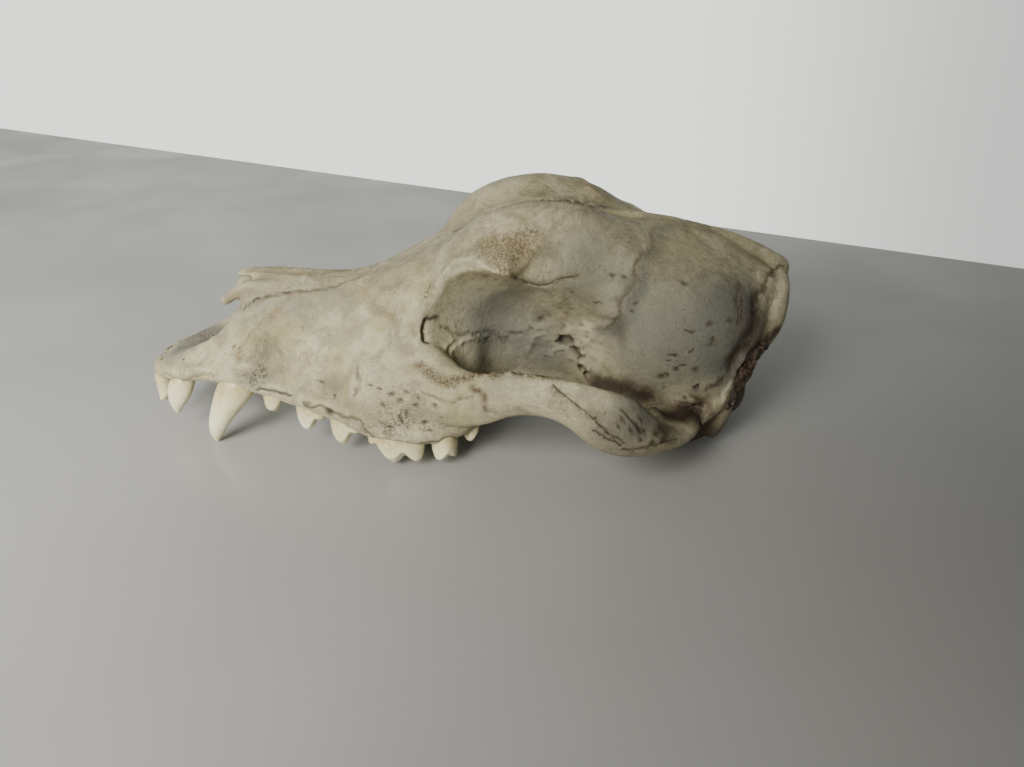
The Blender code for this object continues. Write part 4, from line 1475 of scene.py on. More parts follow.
@dataclass
class CheekArch(Region):
    """The arch that stands off the skull from the cheek to the ear."""

    bar: Table = (
        (80.0, -25.0, 24.0, 7.0, 11.0),
        (87.0, -32.0, 23.5, 5.5, 9.0),
        (94.0, -37.8, 25.4, 3.5, 7.2),
        (102.0, -41.8, 28.7, 2.8, 5.8),
        (111.0, -45.0, 29.9, 2.6, 5.4),
        (119.0, -46.6, 28.2, 2.5, 6.4),
        (127.0, -46.2, 23.6, 3.2, 7.8),
        (133.5, -43.2, 19.0, 5.4, 6.4),
        (139.0, -37.5, 15.0, 7.4, 3.6),
        (143.5, -30.0, 13.0, 8.5, 3.2),
        (148.0, -21.0, 13.0, 8.0, 4.0),
    )
    ear_crest: Table = (
        (140.0, -37.0, 14.2, 2.2, 2.0),
        (146.2, -31.5, 12.0, 2.0, 2.0),
        (152.5, -27.2, 13.0, 1.9, 2.2),
        (158.0, -23.8, 16.0, 1.8, 2.6),
        (162.5, -20.8, 21.0, 1.8, 2.6),
    )
    jaw_stop: Table = (
        (140.0, -33.0, 16.0, 5.5, 2.6),
        (142.0, -32.0, 11.5, 4.5, 2.0),
        (142.5, -31.5, 9.5, 3.0, 1.4),
    )
    rear_swelling: Swell = Swell((131.0, -48.0, 24.0), (7.0, 4.0, 6.0), 0.4)
    # The slate wash and the two brown washes darken the rear of the arch: partly darker, stained
    # bone and partly painted shade where the light falls off.
    washes: tuple[Wash, ...] = (
        Wash(Stain.SLATE, (130.0, -45.0, 23.0), (15.0, 10.0, 13.0), 1.2),
        Wash(Stain.CHALK, (107.0, -45.0, 30.0), (13.0, 5.0, 8.0), 0.2),
        Wash(Stain.BROWN, (140.0, -41.0, 18.5), (9.0, 9.0, 7.0), 0.9),
        Wash(Stain.BROWN, (132.0, -47.0, 21.0), (14.0, 9.0, 11.0), 0.35),
    )
    # Dark spots and larger stains of the rear part, with how far each one reaches.
    specks: Dots = Dots((
        (129.2, -48.1, 28.5, 0.7), (128.7, -48.7, 26.4, 0.6), (130.2, -48.3, 26.7, 0.6),
        (131.5, -48.2, 25.0, 0.8), (132.8, -48.0, 24.1, 0.8), (134.0, -47.1, 24.7, 0.6),
        (140.6, -42.2, 20.8, 1.0), (128.6, -49.1, 23.9, 0.6), (130.8, -48.8, 23.4, 1.0),
        (133.1, -48.4, 22.3, 1.3), (134.3, -47.7, 22.8, 1.1), (137.7, -46.2, 21.0, 1.6),
        (139.4, -44.8, 20.7, 1.9), (141.1, -44.0, 19.4, 1.8), (137.1, -47.3, 18.6, 1.5),
        (140.0, -45.6, 18.3, 1.7), (133.9, -48.5, 20.1, 0.9),
    ), ((Stain.DIRT, 1.0, 1.0),))
    # Painted shade in the dark groove where the arch's root meets the braincase, laid in the brown
    # and dirt masks.
    shadow: Stroke = Stroke((
        (125.9, -15.4, 18.2), (129.6, -17.8, 18.6), (133.3, -21.4, 19.3), (136.7, -23.0, 18.4),
        (140.4, -28.6, 18.0), (144.0, -31.0, 17.5), (148.0, -29.0, 16.5), (152.5, -24.5, 16.5),
    ), tints=((Stain.BROWN, 5.5, 1.0), (Stain.DIRT, 4.0, 0.85)), split=False)
    open_joint: tuple[Stroke, ...] = tuple(
        Stroke(points, cuts=((0.6, 0.36),), tints=((Stain.DIRT, 0.42, 1.2),),
               fine=True) for points in (
            ((112.9, -46.2, 33.9), (114.5, -47.3, 32.9), (116.4, -48.1, 31.4), (118.5, -48.6, 29.9),
             (120.9, -49.0, 27.7), (123.3, -49.2, 25.6), (125.5, -49.4, 23.2), (127.3, -49.4, 21.3),
             (129.1, -49.3, 18.9)),
            ((127.3, -49.4, 21.3), (128.8, -49.4, 20.7), (130.0, -49.3, 19.8)),
        ))
    low_cracks: tuple[Stroke, ...] = tuple(
        Stroke(points, (1.4, 0.3, 3.0), ((0.35, 0.45),), ((Stain.DIRT, 0.5, 0.95),),
               fine=True) for points in (
            ((122.5, -49.2, 23.3), (124.2, -49.3, 22.3), (125.9, -49.4, 21.0),
             (127.6, -49.4, 20.4)),
            ((124.8, -49.3, 24.3), (125.6, -49.4, 22.4)),
            ((129.7, -49.1, 18.0), (132.4, -48.8, 17.5), (135.1, -48.1, 17.6), (137.9, -46.9, 17.7),
             (140.9, -45.1, 17.2), (143.8, -42.7, 16.8)),
        ))

    def press_crisp(self, clay: Clay) -> None:
        """Adds the bar, the crest over the ear and the stop behind the jaw joint."""
        clay.tubes(self.bar, self.ear_crest, self.jaw_stop)


@dataclass
class Braincase(Region):
    """The dome behind the forehead, with its crests, base and underside knobs."""

    side_wall: Blob = ((147.0, -7.0, 34.0), (26.0, 21.5, 20.5), 0.0)
    ear_root: Blob = ((136.0, -14.0, 18.5), (15.0, 10.0, 8.5), 0.0)
    ear_wall: Blob = ((152.0, -17.5, 21.0), (12.0, 9.0, 11.0), 0.0)
    nape: Blob = ((169.0, -4.5, 40.5), (8.0, 9.5, 9.5), 0.0)
    domes: tuple[Blob, ...] = (
        ((140.0, 0.0, 37.0), (37.0, 23.0, 24.2), 6.0),
        ((152.0, 0.0, 34.0), (20.0, 25.8, 22.0), 8.0),
        ((166.0, 0.0, 27.0), (6.0, 17.0, 17.0), -12.0),
    )
    keel: Table = (
        (78.0, 0.0, 34.0, 14.0, 18.0),
        (95.0, 0.0, 33.0, 15.0, 21.0),
        (110.0, 0.0, 32.0, 12.5, 23.0),
        (125.0, 0.0, 33.0, 14.5, 19.0),
    )
    base: Table = (
        (112.0, 0.0, 21.0, 9.0, 5.0),
        (130.0, 0.0, 16.0, 11.0, 5.0),
        (150.0, 0.0, 12.5, 13.0, 5.0),
        (164.0, 0.0, 11.0, 11.0, 4.0),
    )
    top_crest: Table = (
        (124.0, 0.0, 61.0, 2.4, 2.6),
        (140.0, 0.0, 59.2, 1.8, 2.8),
        (158.0, 0.0, 54.8, 1.6, 3.2),
        (168.0, 0.0, 50.8, 2.2, 3.4),
        (175.8, 0.0, 46.0, 3.6, 4.0),
    )
    neck_crest: Table = (
        (175.8, 0.5, 44.6, 3.3, 4.6),
        (175.4, -6.5, 41.0, 3.0, 5.2),
        (173.6, -11.5, 35.4, 2.7, 4.4),
        (169.4, -15.2, 29.3, 1.8, 3.4),
        (165.0, -18.6, 24.5, 1.8, 3.4),
        (161.2, -21.3, 18.0, 2.0, 3.2),
    )
    wing: Table = (
        (92.0, -11.5, 18.5, 1.6, 5.0),
        (102.0, -9.8, 17.0, 1.4, 6.0),
        (112.0, -9.2, 17.0, 1.3, 6.0),
        (119.0, -8.8, 15.5, 1.2, 5.5),
        (123.5, -8.8, 12.0, 1.0, 3.0),
    )
    neck_process: Table = (
        (160.0, -20.5, 17.0, 3.0, 4.0),
        (159.3, -20.5, 10.0, 2.4, 3.2),
        (158.5, -19.8, 4.5, 1.5, 2.0),
    )
    ear_bulb: Blob = ((150.0, -15.5, 8.4), (11.0, 7.2, 9.0), 0.0)
    neck_joint: Blob = ((163.8, -10.5, 13.5), (5.2, 5.4, 7.6), 0.0)
    throat_hollow: Table = (
        (76.0, 0.0, 19.0, 5.0, 4.0),
        (92.0, 0.0, 17.0, 7.2, 6.0),
        (104.0, 0.0, 12.0, 7.6, 8.0),
        (116.0, 0.0, 8.0, 7.4, 9.0),
        (126.0, 0.0, 4.0, 7.0, 8.0),
    )
    brain_hollow: Table = (
        (182.0, 0.0, 20.0, 8.0, 8.5),
        (166.0, 0.0, 22.0, 7.6, 8.0),
        (157.0, 0.0, 27.0, 11.0, 10.0),
        (146.0, 0.0, 33.0, 14.0, 13.0),
    )
    ear_opening: Dots = Dots(((151.5, -26.5, 14.2),), hole=(2.6, 3.0), along=(0.0, 1.0, 0.1))
    side_seam: Stroke = Stroke((
        (140.0, -6.6, 60.2), (138.6, -11.8, 59.1), (138.9, -14.9, 57.2), (136.6, -17.4, 56.2),
        (134.7, -18.7, 55.6), (133.6, -20.0, 53.9), (134.4, -20.8, 51.5), (133.5, -21.7, 49.5),
        (132.0, -22.2, 47.5), (130.8, -22.4, 45.4), (131.0, -22.4, 42.6), (130.2, -20.0, 38.8),
        (128.3, -16.9, 35.7), (125.5, -15.5, 34.8), (123.3, -14.9, 35.4),
    ), (1.7, 1.1, 11.0), ((0.3, 0.8),), ((Stain.BROWN, 0.7, 0.42),))
    # The plate behind the seam stands proud of it, pale along its edge and grey before it.
    plate_edge: tuple[Stroke, ...] = (
        replace(side_seam, cuts=((-0.45, 3.0),), tints=(), shift=-1.4, split=False),
        replace(side_seam, cuts=((-0.5, 3.0),), tints=(), shift=-3.4, split=False),
        replace(side_seam, cuts=((-0.35, 3.0),), tints=(), shift=-6.0, split=False),
        replace(side_seam, cuts=(), tints=((Stain.CHALK, 2.6, 0.55),), shift=-2.2, split=False),
        replace(side_seam, cuts=(), tints=((Stain.SLATE, 3.0, 0.5),), shift=2.4, split=False),
    )
    crown_groove: Stroke = Stroke((
        (148.3, -1.7, 59.8), (150.5, -4.7, 58.8), (152.2, -7.4, 57.5), (153.8, -9.2, 56.1),
        (155.0, -10.6, 54.9),
    ), cuts=((0.35, 1.6),))
    scratches: tuple[Stroke, ...] = tuple(
        Stroke(points, cuts=((0.15, 0.4),), tints=((Stain.DIRT, 0.38, 1.0),),
               tint_wave=(0.8, 0.25, 2.0), paired=False, fine=True) for points in (
            ((146.5, -27.2, 39.8), (147.8, -27.4, 39.0), (149.1, -27.5, 38.5)),
            ((148.0, -28.0, 33.7), (148.9, -28.0, 34.3)),
            ((143.0, -27.8, 33.0), (145.1, -27.9, 31.9)),
            ((142.7, -27.5, 30.9), (143.9, -27.7, 31.3)),
            ((144.8, -27.2, 28.4), (146.2, -27.6, 29.5), (147.9, -27.6, 29.8)),
            ((141.6, -25.8, 25.6), (142.5, -26.3, 26.5), (143.9, -26.7, 27.0)),
            ((153.0, -27.5, 35.4), (153.9, -27.2, 36.4), (153.8, -27.0, 37.5)),
            ((123.9, -20.2, 44.3), (125.9, -21.5, 44.8)),
            ((150.5, -26.1, 22.5), (152.2, -26.1, 23.4)),
        ))
    hairlines: tuple[Stroke, ...] = tuple(
        Stroke(points, cuts=((0.15, 0.4),), tints=((Stain.DIRT, 0.34, 0.75),),
               tint_wave=(1.5, 0.3, 4.0), paired=False, fine=True) for points in (
            ((161.6, -16.2, 48.1), (160.8, -19.1, 46.5), (160.3, -21.4, 44.4), (160.8, -22.9, 41.7),
             (160.7, -24.3, 38.2)),
            ((161.6, -19.9, 45.2), (161.7, -22.0, 42.2), (161.5, -23.5, 39.5)),
        ))
    nape_shade: Stroke = Stroke((
        (169.1, -12.6, 45.4), (167.2, -15.6, 43.7), (166.6, -18.3, 41.2), (166.7, -19.7, 38.4),
        (165.2, -21.7, 35.9), (163.1, -23.4, 33.2), (160.9, -24.3, 30.2), (159.5, -24.4, 26.0),
    ), cuts=((1.0, 3.6),), split=False)
    # Painted shade along the groove under the nape crest, laid in the brown and dirt masks.
    nape_tint: tuple[Stroke, ...] = tuple(
        Stroke(half, (1.4, 1.2, 3.0), tints=((Stain.BROWN, 2.2, 0.8), (Stain.DIRT, 0.9, 0.6)),
               paired=False, split=False) for half in both_sides(nape_shade.points))
    nape_seam: Stroke = Stroke((
        (169.4, -12.6, 45.1), (170.5, -10.4, 46.8), (172.5, -7.6, 47.5), (175.3, -3.3, 47.3),
        (177.0, -2.6, 48.2),
    ), (1.2, 0.6, 13.0), ((0.4, 0.7),), ((Stain.BROWN, 0.9, 1.0),))
    nape_rim: Stroke = Stroke((
        (174.0, -13.4, 34.2), (171.6, -15.6, 31.9), (168.3, -18.3, 31.1), (164.9, -21.7, 30.7),
    ), (1.2, 1.0, 5.0), tints=((Stain.BROWN, 1.8, 1.0), (Stain.DIRT, 1.08, 0.7)), split=False)
    ear_stain: Stroke = Stroke((
        (153.7, -25.9, 22.1), (155.6, -25.6, 22.3), (157.4, -25.0, 23.8), (158.7, -24.4, 24.4),
    ), (1.2, 1.0, 5.0), tints=((Stain.BROWN, 1.3, 1.0), (Stain.DIRT, 0.78, 0.7)))
    ear_ridge: Stroke = Stroke((
        (164.1, -22.3, 31.0), (162.6, -22.3, 26.9), (161.1, -22.9, 22.9), (159.9, -24.2, 19.7),
        (158.9, -25.5, 16.7),
    ), cuts=((-0.7, 1.3),), tints=((Stain.CHALK, 1.0, 0.6),))
    specks: Dots = Dots((
        (134.4, -22.7, 45.2), (147.2, -21.2, 49.0), (130.6, -21.5, 51.8), (128.0, -21.6, 52.1),
        (133.2, -23.0, 43.2), (142.8, -26.9, 19.0), (148.2, -27.4, 19.3), (150.8, -27.0, 28.0),
        (158.5, -24.6, 40.5), (152.6, -26.2, 41.2),
    ), ((Stain.DIRT, 0.6, 0.9),), paired=False)
    # Painted shade mixed with darker, stained bone: the slate washes darken the side towards the
    # rear, where the light falls off, and the brown and dirt washes darken the underside, the bulb
    # under the ear and the nape, where shade falls.
    washes: tuple[Wash, ...] = (
        Wash(Stain.SLATE, (147.0, -22.0, 36.0), (34.0, 20.0, 26.0), 1.1),
        Wash(Stain.SLATE, (160.0, -20.0, 36.0), (15.0, 14.0, 22.0), 1.0),
        Wash(Stain.BROWN, (167.0, -15.0, 32.0), (8.0, 10.0, 15.0), 0.55),
        Wash(Stain.BROWN, (151.0, -24.0, 12.0), (15.0, 12.0, 10.0), 1.0),
        Wash(Stain.DIRT, (158.0, -14.0, 5.0), (20.0, 14.0, 14.0), 1.6),
        Wash(Stain.BROWN, (166.0, -11.0, 15.0), (10.0, 10.0, 11.0), 1.2),
        Wash(Stain.DIRT, (147.0, -28.0, 12.0), (16.0, 10.0, 7.0), 1.0),
        Wash(Stain.BROWN, (163.0, -21.0, 38.0), (8.0, 10.0, 20.0), 0.6),
        Wash(Stain.CHALK, (176.0, -8.0, 41.0), (5.0, 7.0, 9.0), 0.9),
    )

    def press_mass(self, clay: Clay) -> None:
        """Adds the domes, the wall between the orbits and the base."""
        clay.balls(self.side_wall, self.ear_root, self.ear_wall, self.nape)
        for centre, radii, tilt in self.domes:
            clay.ball(centre, radii, tilt)
        clay.tube(self.keel)
        clay.tube(self.base)

    def press_crisp(self, clay: Clay) -> None:
        """Adds the crests, wings, processes, ear bulbs and neck joints."""
        clay.tubes(self.neck_crest, self.wing, self.neck_process)
        clay.balls(self.ear_bulb, self.neck_joint)
        clay.tube(self.top_crest)


@dataclass(frozen=True)
class Cusp:
    """One point of a crown: its place on the tooth, its drop below the neck and its reach."""

    along: float
    across: float
    drop: float
    reach: float


@dataclass
class CheekTooth:
    """A rooted tooth with an oval neck and one or more cusps."""

    name: str
    neck: Row
    half_long: float
    half_wide: float
    turn: float
    root: float
    cusps: tuple[Cusp, ...]
    crests: tuple[tuple[int, int, float], ...] = ()
    corners: int = 40
    crown_rings: int = 22
    rim: float = 1.6
    lean: float = 0.45
    socket_lip: float = 3.6
    root_taper: Table = ((1.0, 0.62), (0.75, 0.74), (0.5, 0.85), (0.25, 0.94), (0.0, 1.0))

    def _drop(self, along: float, across: float, edge: float) -> float:
        """How far the crown hangs at one place.

        Args:
            along: the place along the row from the neck's middle.
            across: the place across the row, plus towards the lips.
            edge: the place's share of the way out to the neck's rim.

        Returns:
            The drop below the neck.
        """
        heights = [self.rim * (1 - edge ** 3)]
        for cusp in self.cusps:
            away = math.hypot(along - cusp.along, across - cusp.across) / cusp.reach
            heights.append(cusp.drop * max(0.0, 1 - away ** 2.3))
        for first, second, saddle in self.crests:
            start, end = self.cusps[first], self.cusps[second]
            span = Vector((end.along - start.along, end.across - start.across))
            run = ((Vector((along - start.along, across - start.across)) @ span)
                   / max(span.length_squared, 1e-6))
            run = min(1.0, max(0.0, run))
            foot = Vector((start.along, start.across)) + span * run
            away = (Vector((along, across)) - foot).length / (0.75 * start.reach)
            height = start.drop + (end.drop - start.drop) * run
            height -= saddle * 4 * run * (1 - run)
            heights.append(height * max(0.0, 1 - away ** 1.9))
        power = 7.0
        return sum(max(0.0, height) ** power for height in heights) ** (1 / power)

    def _place(self, side: Side, along: float, across: float, rise: float) -> Row:
        """A point of the tooth.

        Args:
            side: the half of the skull.
            along: along the row from the neck's middle.
            across: across the row, plus towards the lips.
            rise: height above the neck.

        Returns:
            The point in the skull's frame.
        """
        turn = math.radians(self.turn)
        back = Vector((math.cos(turn), math.sin(turn), 0.0))
        lips = Vector((math.sin(turn), -math.cos(turn), 0.0))
        point = Vector(self.neck) + back * along + lips * (across - self.lean * max(0.0, rise))
        return point.x, point.y * side.value, point.z + rise

    def _oval(self, side: Side, scale: float, rise: float, gap: float = 0.0) -> list[Row]:
        """One level oval ring of the tooth or, with a gap, of its socket."""
        long, wide = self.half_long * scale + gap, self.half_wide * scale + gap
        return [self._place(side, long * math.cos(angle), wide * math.sin(angle), rise)
                for angle in around(self.corners)]

    def press(self, clay: Clay, side: Side) -> None:
        """Adds the root and the crown.

        Args:
            clay: the clay to press them into.
            side: the half of the skull.
        """
        rings = [self._oval(side, scale, self.root * level) for level, scale in self.root_taper]
        peak = self.cusps[0]
        for edge in np.linspace(1.0, 0.0, self.crown_rings + 1)[1:-1]:
            belly = 1 + 0.07 * math.sin(math.pi * min(1.0, (1 - edge) / 0.3))
            ring = []
            for angle in around(self.corners):
                along = peak.along + edge * (self.half_long * math.cos(angle) - peak.along)
                across = peak.across + edge * (self.half_wide * math.sin(angle) - peak.across)
                drop = self._drop(along, across, edge)
                ring.append(self._place(side, along * belly, across * belly, -drop))
            rings.append(ring)
        tip = self._place(side, peak.along, peak.across, -self._drop(peak.along, peak.across, 0.0))
        clay.rings(rings, tip)

    def press_socket(self, clay: Clay, side: Side) -> None:
        """Adds the form that is taken out of the bone for this tooth."""
        levels = [(self.root + SOCKET_GAP, self.root_taper[0][1])]
        levels += [(self.root * level, scale) for level, scale in self.root_taper[1:]]
        levels.append((-self.socket_lip, 1.0))
        clay.rings([self._oval(side, scale, rise, SOCKET_GAP) for rise, scale in levels])

    def neck_ring(self, side: Side) -> np.ndarray:
        """Points round the neck, where the bone meets it."""
        return np.array(self._oval(side, 1.0, 0.0, SOCKET_GAP))


@dataclass
class Fang:
    """A curved tooth with a single point."""

    name: str
    # x, y, z, half width, half length from the root's end to the tip.
    path: Table
    neck_row: int
    corners: int = 40

    def press(self, clay: Clay, side: Side) -> None:
        """Adds the tooth."""
        clay.tube(self.path, side, 8, self.corners)

    def press_socket(self, clay: Clay, side: Side) -> None:
        """Adds the form that is taken out of the bone for this tooth."""
        clay.tube(self.path, side, 2, self.corners // 2, SOCKET_GAP)

    def neck_ring(self, side: Side) -> np.ndarray:
        """Points round the neck, where the bone meets it."""
        x, y, z, wide, long = self.path[self.neck_row]
        return np.array([(x + (long + SOCKET_GAP) * math.cos(angle),
                          (y + (wide + SOCKET_GAP) * math.sin(angle)) * side.value, z)
                         for angle in around(self.corners)])


@dataclass
class ToothRow:
    """Every upper tooth of one side."""

    cheek_teeth: tuple[CheekTooth, ...] = (
        CheekTooth("incisor_1", (-2.8, -2.5, 15.7), 1.9, 2.2, -84.0, 4.5,
                   (Cusp(0.0, 2.2, 7.6, 2.8),)),
        CheekTooth("incisor_2", (-0.9, -6.9, 15.9), 2.4, 2.5, -66.0, 4.5,
                   (Cusp(0.0, 1.2, 8.2, 3.8),)),
        CheekTooth("premolar_1", (35.6, -18.6, 15.8), 3.2, 2.2, -8.0, 3.5,
                   (Cusp(-0.6, 0.3, 5.0, 3.2),)),
        CheekTooth("premolar_2", (46.1, -21.0, 13.3), 4.4, 2.2, -14.0, 4.0,
                   (Cusp(-1.1, 0.4, 6.9, 3.6), Cusp(2.6, 0.2, 3.4, 2.0)), ((0, 1, 0.8),)),
        CheekTooth("premolar_3", (56.6, -24.7, 11.6), 4.8, 2.4, -18.0, 4.0,
                   (Cusp(-1.1, 0.4, 7.4, 3.9), Cusp(2.9, 0.2, 3.6, 2.2)), ((0, 1, 0.8),)),
        CheekTooth("premolar_4", (71.2, -30.0, 9.8), 8.0, 3.7, -10.0, 4.5,
                   (Cusp(-0.6, 0.8, 7.6, 4.6), Cusp(5.2, 0.9, 6.4, 3.6),
                    Cusp(-6.0, 0.6, 3.0, 2.6)), ((0, 1, 1.8),)),
        CheekTooth("molar_1", (83.7, -26.3, 10.4), 3.9, 6.6, 14.0, 4.0,
                   (Cusp(-1.4, 3.9, 7.6, 4.2), Cusp(2.0, 4.3, 6.6, 3.4),
                    Cusp(0.2, -3.4, 6.0, 4.6)), ((0, 1, 1.0),)),
        CheekTooth("molar_2", (90.9, -23.6, 11.8), 2.8, 4.4, 22.0, 3.5,
                   (Cusp(-0.8, 2.4, 6.2, 2.8), Cusp(0.4, -2.0, 4.4, 3.0))),
    )
    fangs: tuple[Fang, ...] = (
        Fang("incisor_3", ((9.6, -10.6, 21.5, 1.5, 2.0), (7.8, -11.9, 17.8, 2.4, 3.2),
                           (6.0, -13.1, 13.8, 2.6, 3.4), (4.8, -13.5, 10.2, 1.8, 2.2),
                           (4.2, -13.4, 7.6, 0.8, 0.9)), 1),
        Fang("canine", ((32.5, -12.4, 27.0, 2.2, 3.2), (29.2, -14.2, 23.2, 3.0, 4.5),
                        (24.6, -17.2, 17.5, 3.6, 4.9), (19.8, -18.7, 9.8, 2.9, 3.4),
                        (17.3, -18.9, 4.2, 1.9, 2.2), (16.5, -18.5, 1.3, 0.9, 1.0)), 2),
    )
    finish: EnamelFinish = EnamelFinish()

    @property
    def teeth(self) -> tuple[object, ...]:
        """Every tooth of the row."""
        return (*self.cheek_teeth, *self.fangs)

    def sockets(self) -> bpy.types.Object:
        """All sockets of both sides as one cutter."""
        clay = Clay()
        for side in Side:
            for tooth in self.teeth:
                tooth.press_socket(clay, side)
        return clay.set("sockets")

    def build(self) -> list[bpy.types.Object]:
        """Makes, dresses and places every tooth of both sides.

        Returns:
            The teeth.
        """
        made = []
        for side in Side:
            for tooth in self.teeth:
                clay = Clay()
                tooth.press(clay, side)
                item = clay.set(f"{side.word}_{tooth.name}_tooth")
                self._tint(item, tooth.neck_ring(side))
                self.finish.dress(item)
                seat(item, f"{side.word}_{tooth.name}", 60.0)
                made.append(item)
        return made

    def _tint(self, item: bpy.types.Object, neck: np.ndarray) -> None:
        """Yellows the tooth towards its neck.

        Args:
            item: the tooth.
            neck: points round its neck.
        """
        surface = Surface(item)
        paint = Paint(surface)
        level = neck[:, 2].mean()
        below = level - surface.places[:, 2]
        paint.masks[Stain.OCHRE] = 0.8 * np.clip(1 - below / 6.0, 0, 1) ** 1.3
        paint.masks[Stain.BROWN] = 0.45 * bell((below + 0.3) / 1.3)
        paint.store()


def seat(item: bpy.types.Object, node: str, sharp: float) -> None:
    """Scales a piece to metres, shades it, and puts it in place of its CAD node.

    Args:
        item: the piece, in millimetres in the skull's frame.
        node: the CAD node that it stands for, or nothing.
        sharp: the angle in degrees above which an edge stays sharp.
    """
    item.data.transform(Matrix.Scale(METRES_PER_MM, 4)
                        @ Matrix.Translation((-LENGTH_MIDDLE, 0.0, 0.0)))
    item.data.shade_smooth()
    item.data.set_sharp_from_angle(angle=math.radians(sharp))
    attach(item, "root")
    if node:
        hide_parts(node)


@dataclass
class Cranium:
    """The one grown bone, pressed from its forms, then marked and stained."""

    snout: Snout = field(default_factory=Snout)
    eye_socket: EyeSocket = field(default_factory=EyeSocket)
    forehead: Forehead = field(default_factory=Forehead)
    arch: CheekArch = field(default_factory=CheekArch)
    braincase: Braincase = field(default_factory=Braincase)
    finish: BoneFinish = BoneFinish()
    triangles: int = 105000
    table_block: float = 400.0
    # How far from a line its faces are split, the first and the second time.
    split_reaches: tuple[float, float] = (1.1, 0.6)
    # Places where the wide hollows leave a ledge that grown bone doesn't have.
    melted: tuple[tuple[Row, Row, int], ...] = (
        ((119.0, -18.5, 46.5), (15.0, 10.0, 11.0), 90),
        ((103.0, -22.0, 49.5), (9.0, 6.0, 4.0), 12),
        ((125.0, -16.0, 30.0), (9.0, 7.0, 12.0), 40),
    )

    @property
    def parts(self) -> tuple[Region, ...]:
        """The regions that carry their own marks and stains."""
        return self.snout, self.eye_socket, self.forehead, self.arch, self.braincase

    def _hollow_out(self, item: bpy.types.Object, grain: Grain, *paths: Table,
                    paired: bool = False) -> None:
        """Cuts tube-shaped hollows that run into each other.

        Args:
            item: the bone.
            grain: how the cutter's forms are joined.
            paths: the hollows.
            paired: whether each one is cut on both sides.
        """
        clay = Clay()
        for path in paths:
            if paired:
                clay.tubes(path)
            else:
                clay.tube(path)
        take_away(item, fuse(clay.set("hollow"), grain))

    def shape(self) -> bpy.types.Object:
        """Presses, hollows and joins the forms.

        Returns:
            The bone's skin, before its marks.
        """
        clay = Clay()
        for part in (self.snout, self.forehead, self.braincase):
            part.press_mass(clay)
        mass = fuse(clay.set("mass"), Grain.JOINED)
        self._hollow_out(mass, Grain.WIDE_HOLLOW, self.eye_socket.temple_hollow,
                         self.eye_socket.lower_gap, paired=True)
        fuse(mass, Grain.MASS)
        self._hollow_out(mass, Grain.ORBIT, self.eye_socket.rim_hollow,
                         self.eye_socket.temple_hollow, self.eye_socket.lower_gap, paired=True)
        self._hollow_out(mass, Grain.PASSAGE, self.snout.nose_hollow,
                         self.braincase.throat_hollow, self.braincase.brain_hollow)
        clay = Clay()
        clay.swallow(mass)
        for part in (self.snout, self.arch, self.braincase):
            part.press_crisp(clay)
        return fuse(clay.set("cranium_bone"), Grain.SKIN)

    def mark(self, surface: Surface) -> None:
        """Presses the sutures, pits, holes and rough patches into the skin.

        Args:
            surface: the bone's skin.
        """
        for centre, radii, rounds in self.melted:
            for side in Side:
                surface.soften((centre[0], centre[1] * side.value, centre[2]), radii, rounds)
        surface.settle()
        for fine, reach in zip((False, True), self.split_reaches):
            surface.refine([line for part in self.parts for line in part.lines(fine)], reach)
        for part in self.parts:
            part.mark(surface)
        surface.settle()

    def stain(self, surface: Surface) -> None:
        """Lays the stains, the soiling, the painted shade and the pale places on the finished skin.

        Args:
            surface: the bone's skin.
        """
        paint = Paint(surface)
        deep = surface.hollowness(30)
        # Painted shade: the dirt mask darkens each point by how deep it lies in a hollow; points on
        # ridges are paled a little.
        paint.masks[Stain.DIRT] += 0.6 * np.clip((deep - 0.25) / 0.9, 0, 1)
        paint.masks[Stain.CHALK] += 0.3 * np.clip((-deep - 0.1) / 0.6, 0, 1)
        for part in self.parts:
            part.stain(paint)
        paint.store()

    def build(self, teeth: ToothRow) -> bpy.types.Object:
        """Makes the cranium and puts it in place of its CAD node.

        Args:
            teeth: the teeth that it needs sockets for.

        Returns:
            The cranium.
        """
        item = self.shape()
        take_away(item, teeth.sockets(), "MANIFOLD")
        ground = Clay()
        block = Matrix.Translation((LENGTH_MIDDLE, 0.0, -self.table_block / 2))
        bmesh.ops.create_cube(ground.mesh, size=self.table_block, matrix=block)
        take_away(item, ground.set("ground"), "MANIFOLD")
        thin_out(item, self.triangles)
        surface = Surface(item)
        self.mark(surface)
        self.stain(surface)
        self.finish.dress(item)
        seat(item, "cranium", 75.0)
        return item


